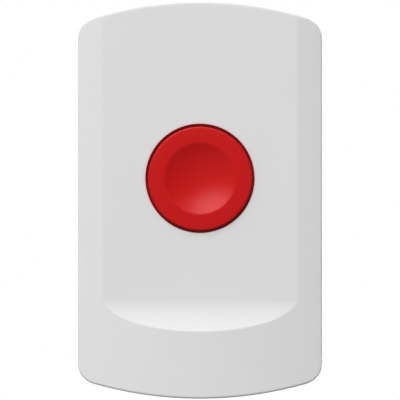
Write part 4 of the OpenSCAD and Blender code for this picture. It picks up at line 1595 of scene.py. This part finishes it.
# %% Rivets of the switch
RIVET_R = 0.5
RIVET_IN = 0.1
RIVET_AT = (-2.5, 2.5)
rivets = [(switch_mid[0] + a, switch_mid[1] + b, switch_high[2]) for a in RIVET_AT for b in RIVET_AT]
rivet_profile = rounded([(0, -RIVET_IN, 0), (RIVET_R, -RIVET_IN, 0), (RIVET_R, 0.22, 0.2), (0, 0.25, 0)], 3)
pattern = swept("rivet", rivet_profile, black_plastic, steps=20)
added_to_base(copied("switch_rivets", pattern, rivets, black_plastic))

# %% Solder
FILLET = [(0, 0), (1.15, 0), (1.05, 0.08), (0.75, 0.3), (0.58, 0.6), (0.4, 0.8), (0, 0.86)]
wire_r = ANTENNA_WIRE / 2
joints = [
    (antenna_high[0] - wire_r, antenna_low[1] + wire_r),
    (antenna_low[0] + wire_r, antenna_high[1] - wire_r),
    *((side * TAIL_RIGHT, TAIL_UP) for side in (-1, 1)),
]
pattern = swept("fillet", FILLET, tinned_metal, steps=24)
added_to_base(copied("solder_joints", pattern, on_board(joints), tinned_metal))

# %% [markdown]
# ## Light, floor and camera
# The photograph is a plain studio view from straight ahead: white behind, and a large soft lamp high on the
# left. The world is white to the camera and much dimmer as a light, so the white background adds nothing to
# the object's own brightness. Low behind the object the room is darker, which draws the line along its lower
# edge. A glossy surface shows a dimmer room with two pale panels high up, and the white background where it
# mirrors what is behind the object.

# %% The world
ROOM = 0.59           # how bright the surroundings are as a light, on average
ROOM_ABOVE = 0.03     # how much brighter they get upwards
ROOM_LEFT = 0.16      # and to the left
DARKER = 0.9          # the share of that light which is missing low behind the object
DARKER_TOWARDS = Vector((0.1, 0.6, -0.79)).normalized()
DARKER_EDGE = (0, 0.6)         # cosines of the angles where it starts and where it is whole
MIRRORED = 0.45       # the share of them that a glossy surface shows
BACKDROP_TOWARDS = Vector((0, 1, 0))     # where a glossy surface shows the white background
BACKDROP_EDGE = (0.5, 0.95)
PANELS = (            # pale panels high up, which only glossy surfaces show
    (3.0, Vector((-0.5, -0.56, 0.66)).normalized()),
    (1.7, Vector((0.14, -0.56, 0.82)).normalized()),
)
PANEL_EDGE = (0.82, 0.97)


def studio_world():
    world = bpy.data.worlds.new("studio")
    world.use_nodes = True
    tree = world.node_tree
    tree.nodes.clear()
    towards = Flow.node(tree, "ShaderNodeTexCoord", output="Generated")
    right, _, up = towards.parts()
    ray = Flow.node(tree, "ShaderNodeLightPath").socket.node
    camera, glossy, through = (
        Flow(tree, ray.outputs[kind]) for kind in ("Is Camera Ray", "Is Glossy Ray", "Is Transmission Ray")
    )

    def share(middle_of_it, edge):
        inputs = {0: towards, 1: middle_of_it}
        facing = Flow.node(tree, "ShaderNodeVectorMath", inputs, output="Value", operation="DOT_PRODUCT")
        return facing.step(*edge)

    darker = DARKER * share(DARKER_TOWARDS, DARKER_EDGE)
    room = (ROOM + ROOM_ABOVE * up - ROOM_LEFT * right) * (1 - darker)
    mirrored = MIRRORED * room
    for panel, panel_towards in PANELS:
        mirrored = mirrored + panel * share(panel_towards, PANEL_EDGE)
    room = room + (mirrored - room) * glossy
    behind = glossy * share(BACKDROP_TOWARDS, BACKDROP_EDGE)
    white = camera.math("MAXIMUM", camera, camera.math("MAXIMUM", behind, through))
    strength = white + (1 - white) * room.math("MAXIMUM", room, 0)
    sky = Flow.node(tree, "ShaderNodeBackground", {"Color": (1, 1, 1, 1), "Strength": strength})
    result = tree.nodes.new("ShaderNodeOutputWorld")
    tree.links.new(sky.socket, result.inputs["Surface"])
    return world


bpy.context.scene.world = studio_world()
print("the surroundings light the object at", ROOM)

# %% [markdown]
# ### Lamps
# The button's dish shows one broad, soft highlight, so the main lamp is a large disk. A small one would draw
# a hard spot and hard shadows. A second lamp lights the side that faces the wall, for views from behind.

# %% The lamps
KEY_TOWARDS = Vector((-0.36, -1, 1)).normalized()
KEY_DISTANCE = 3.0
KEY_SIZE = 2.7
KEY_POWER = 55.2
BACK_TOWARDS = Vector((0, 1, 0.1)).normalized()        # a weak lamp for the side that faces the wall
BACK_POWER = 36


def studio_lamp(name, towards, distance, size, power):
    lamp = bpy.data.lights.new(name, "AREA")
    lamp.shape = "DISK"
    lamp.size = size
    lamp.energy = power
    holder = shown(name, lamp)
    holder.location = towards * distance
    holder.rotation_euler = towards.to_track_quat("Z", "Y").to_euler()


studio_lamp("key_lamp", KEY_TOWARDS, KEY_DISTANCE, KEY_SIZE, KEY_POWER)
studio_lamp("back_lamp", BACK_TOWARDS, KEY_DISTANCE, KEY_SIZE, BACK_POWER)
print("the lamps stand", KEY_DISTANCE, "m away")

# %% [markdown]
# ### Floor
# The object hangs on a wall, so the floor lies far below it and out of the front view. It could brighten the
# object from below, so it is hidden from all light that the object receives or mirrors.

# %% The floor
FLOOR_R = 2.2
FLOOR_DROP = 0.95
pale_floor = moulded("pale_floor", (0.86, 0.86, 0.86), 0.7, 3)
floor_mesh = bpy.data.meshes.new("floor")
rim_points = [(*point, -FLOOR_DROP) for point in circle((0, 0), FLOOR_R, ROUND_STEPS)]
floor_mesh.from_pydata(rim_points, [], [range(ROUND_STEPS)])
floor_mesh.materials.append(pale_floor)
floor = shown("floor", floor_mesh)
floor.visible_diffuse = False
floor.visible_glossy = False
floor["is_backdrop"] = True
print("the floor lies", FLOOR_DROP, "m below the middle of the object")

# %% [markdown]
# ### Camera
# A long lens far away keeps the sides of the object nearly parallel, as they are in the photograph. The
# distance then sets how much of the frame the object fills.

# %% The camera
CAMERA_LENS = 200
CAMERA_DISTANCE = 0.631
MID_OUT = 20.7        # the depth of the object's front rim, where the framing was measured
CAMERA_UP = 0.08
CLIP_END = 10         # m, beyond the far edge of the floor
camera_data = bpy.data.cameras.new("camera")
camera_data.lens = CAMERA_LENS
camera_data.clip_end = CLIP_END
camera = shown("camera", camera_data)
camera.location = (0, -MID_OUT * MM - CAMERA_DISTANCE, CAMERA_UP * MM)
camera.rotation_euler = (math.pi / 2, 0, 0)
bpy.context.scene.camera = camera
bpy.context.scene.view_settings.view_transform = "Standard"
print("the frame is", round(camera_data.sensor_width / CAMERA_LENS * CAMERA_DISTANCE / MM, 2), "mm across")

# Both boxes are kept as plain lists.

sizes = {"cad": [list(corner_point) for corner_point in cad_box]}
sizes["visual"] = [list(corner_point) for corner_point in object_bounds()]
print("visual box in mm:", [[round(v / MM, 2) for v in corner_point] for corner_point in sizes["visual"]])
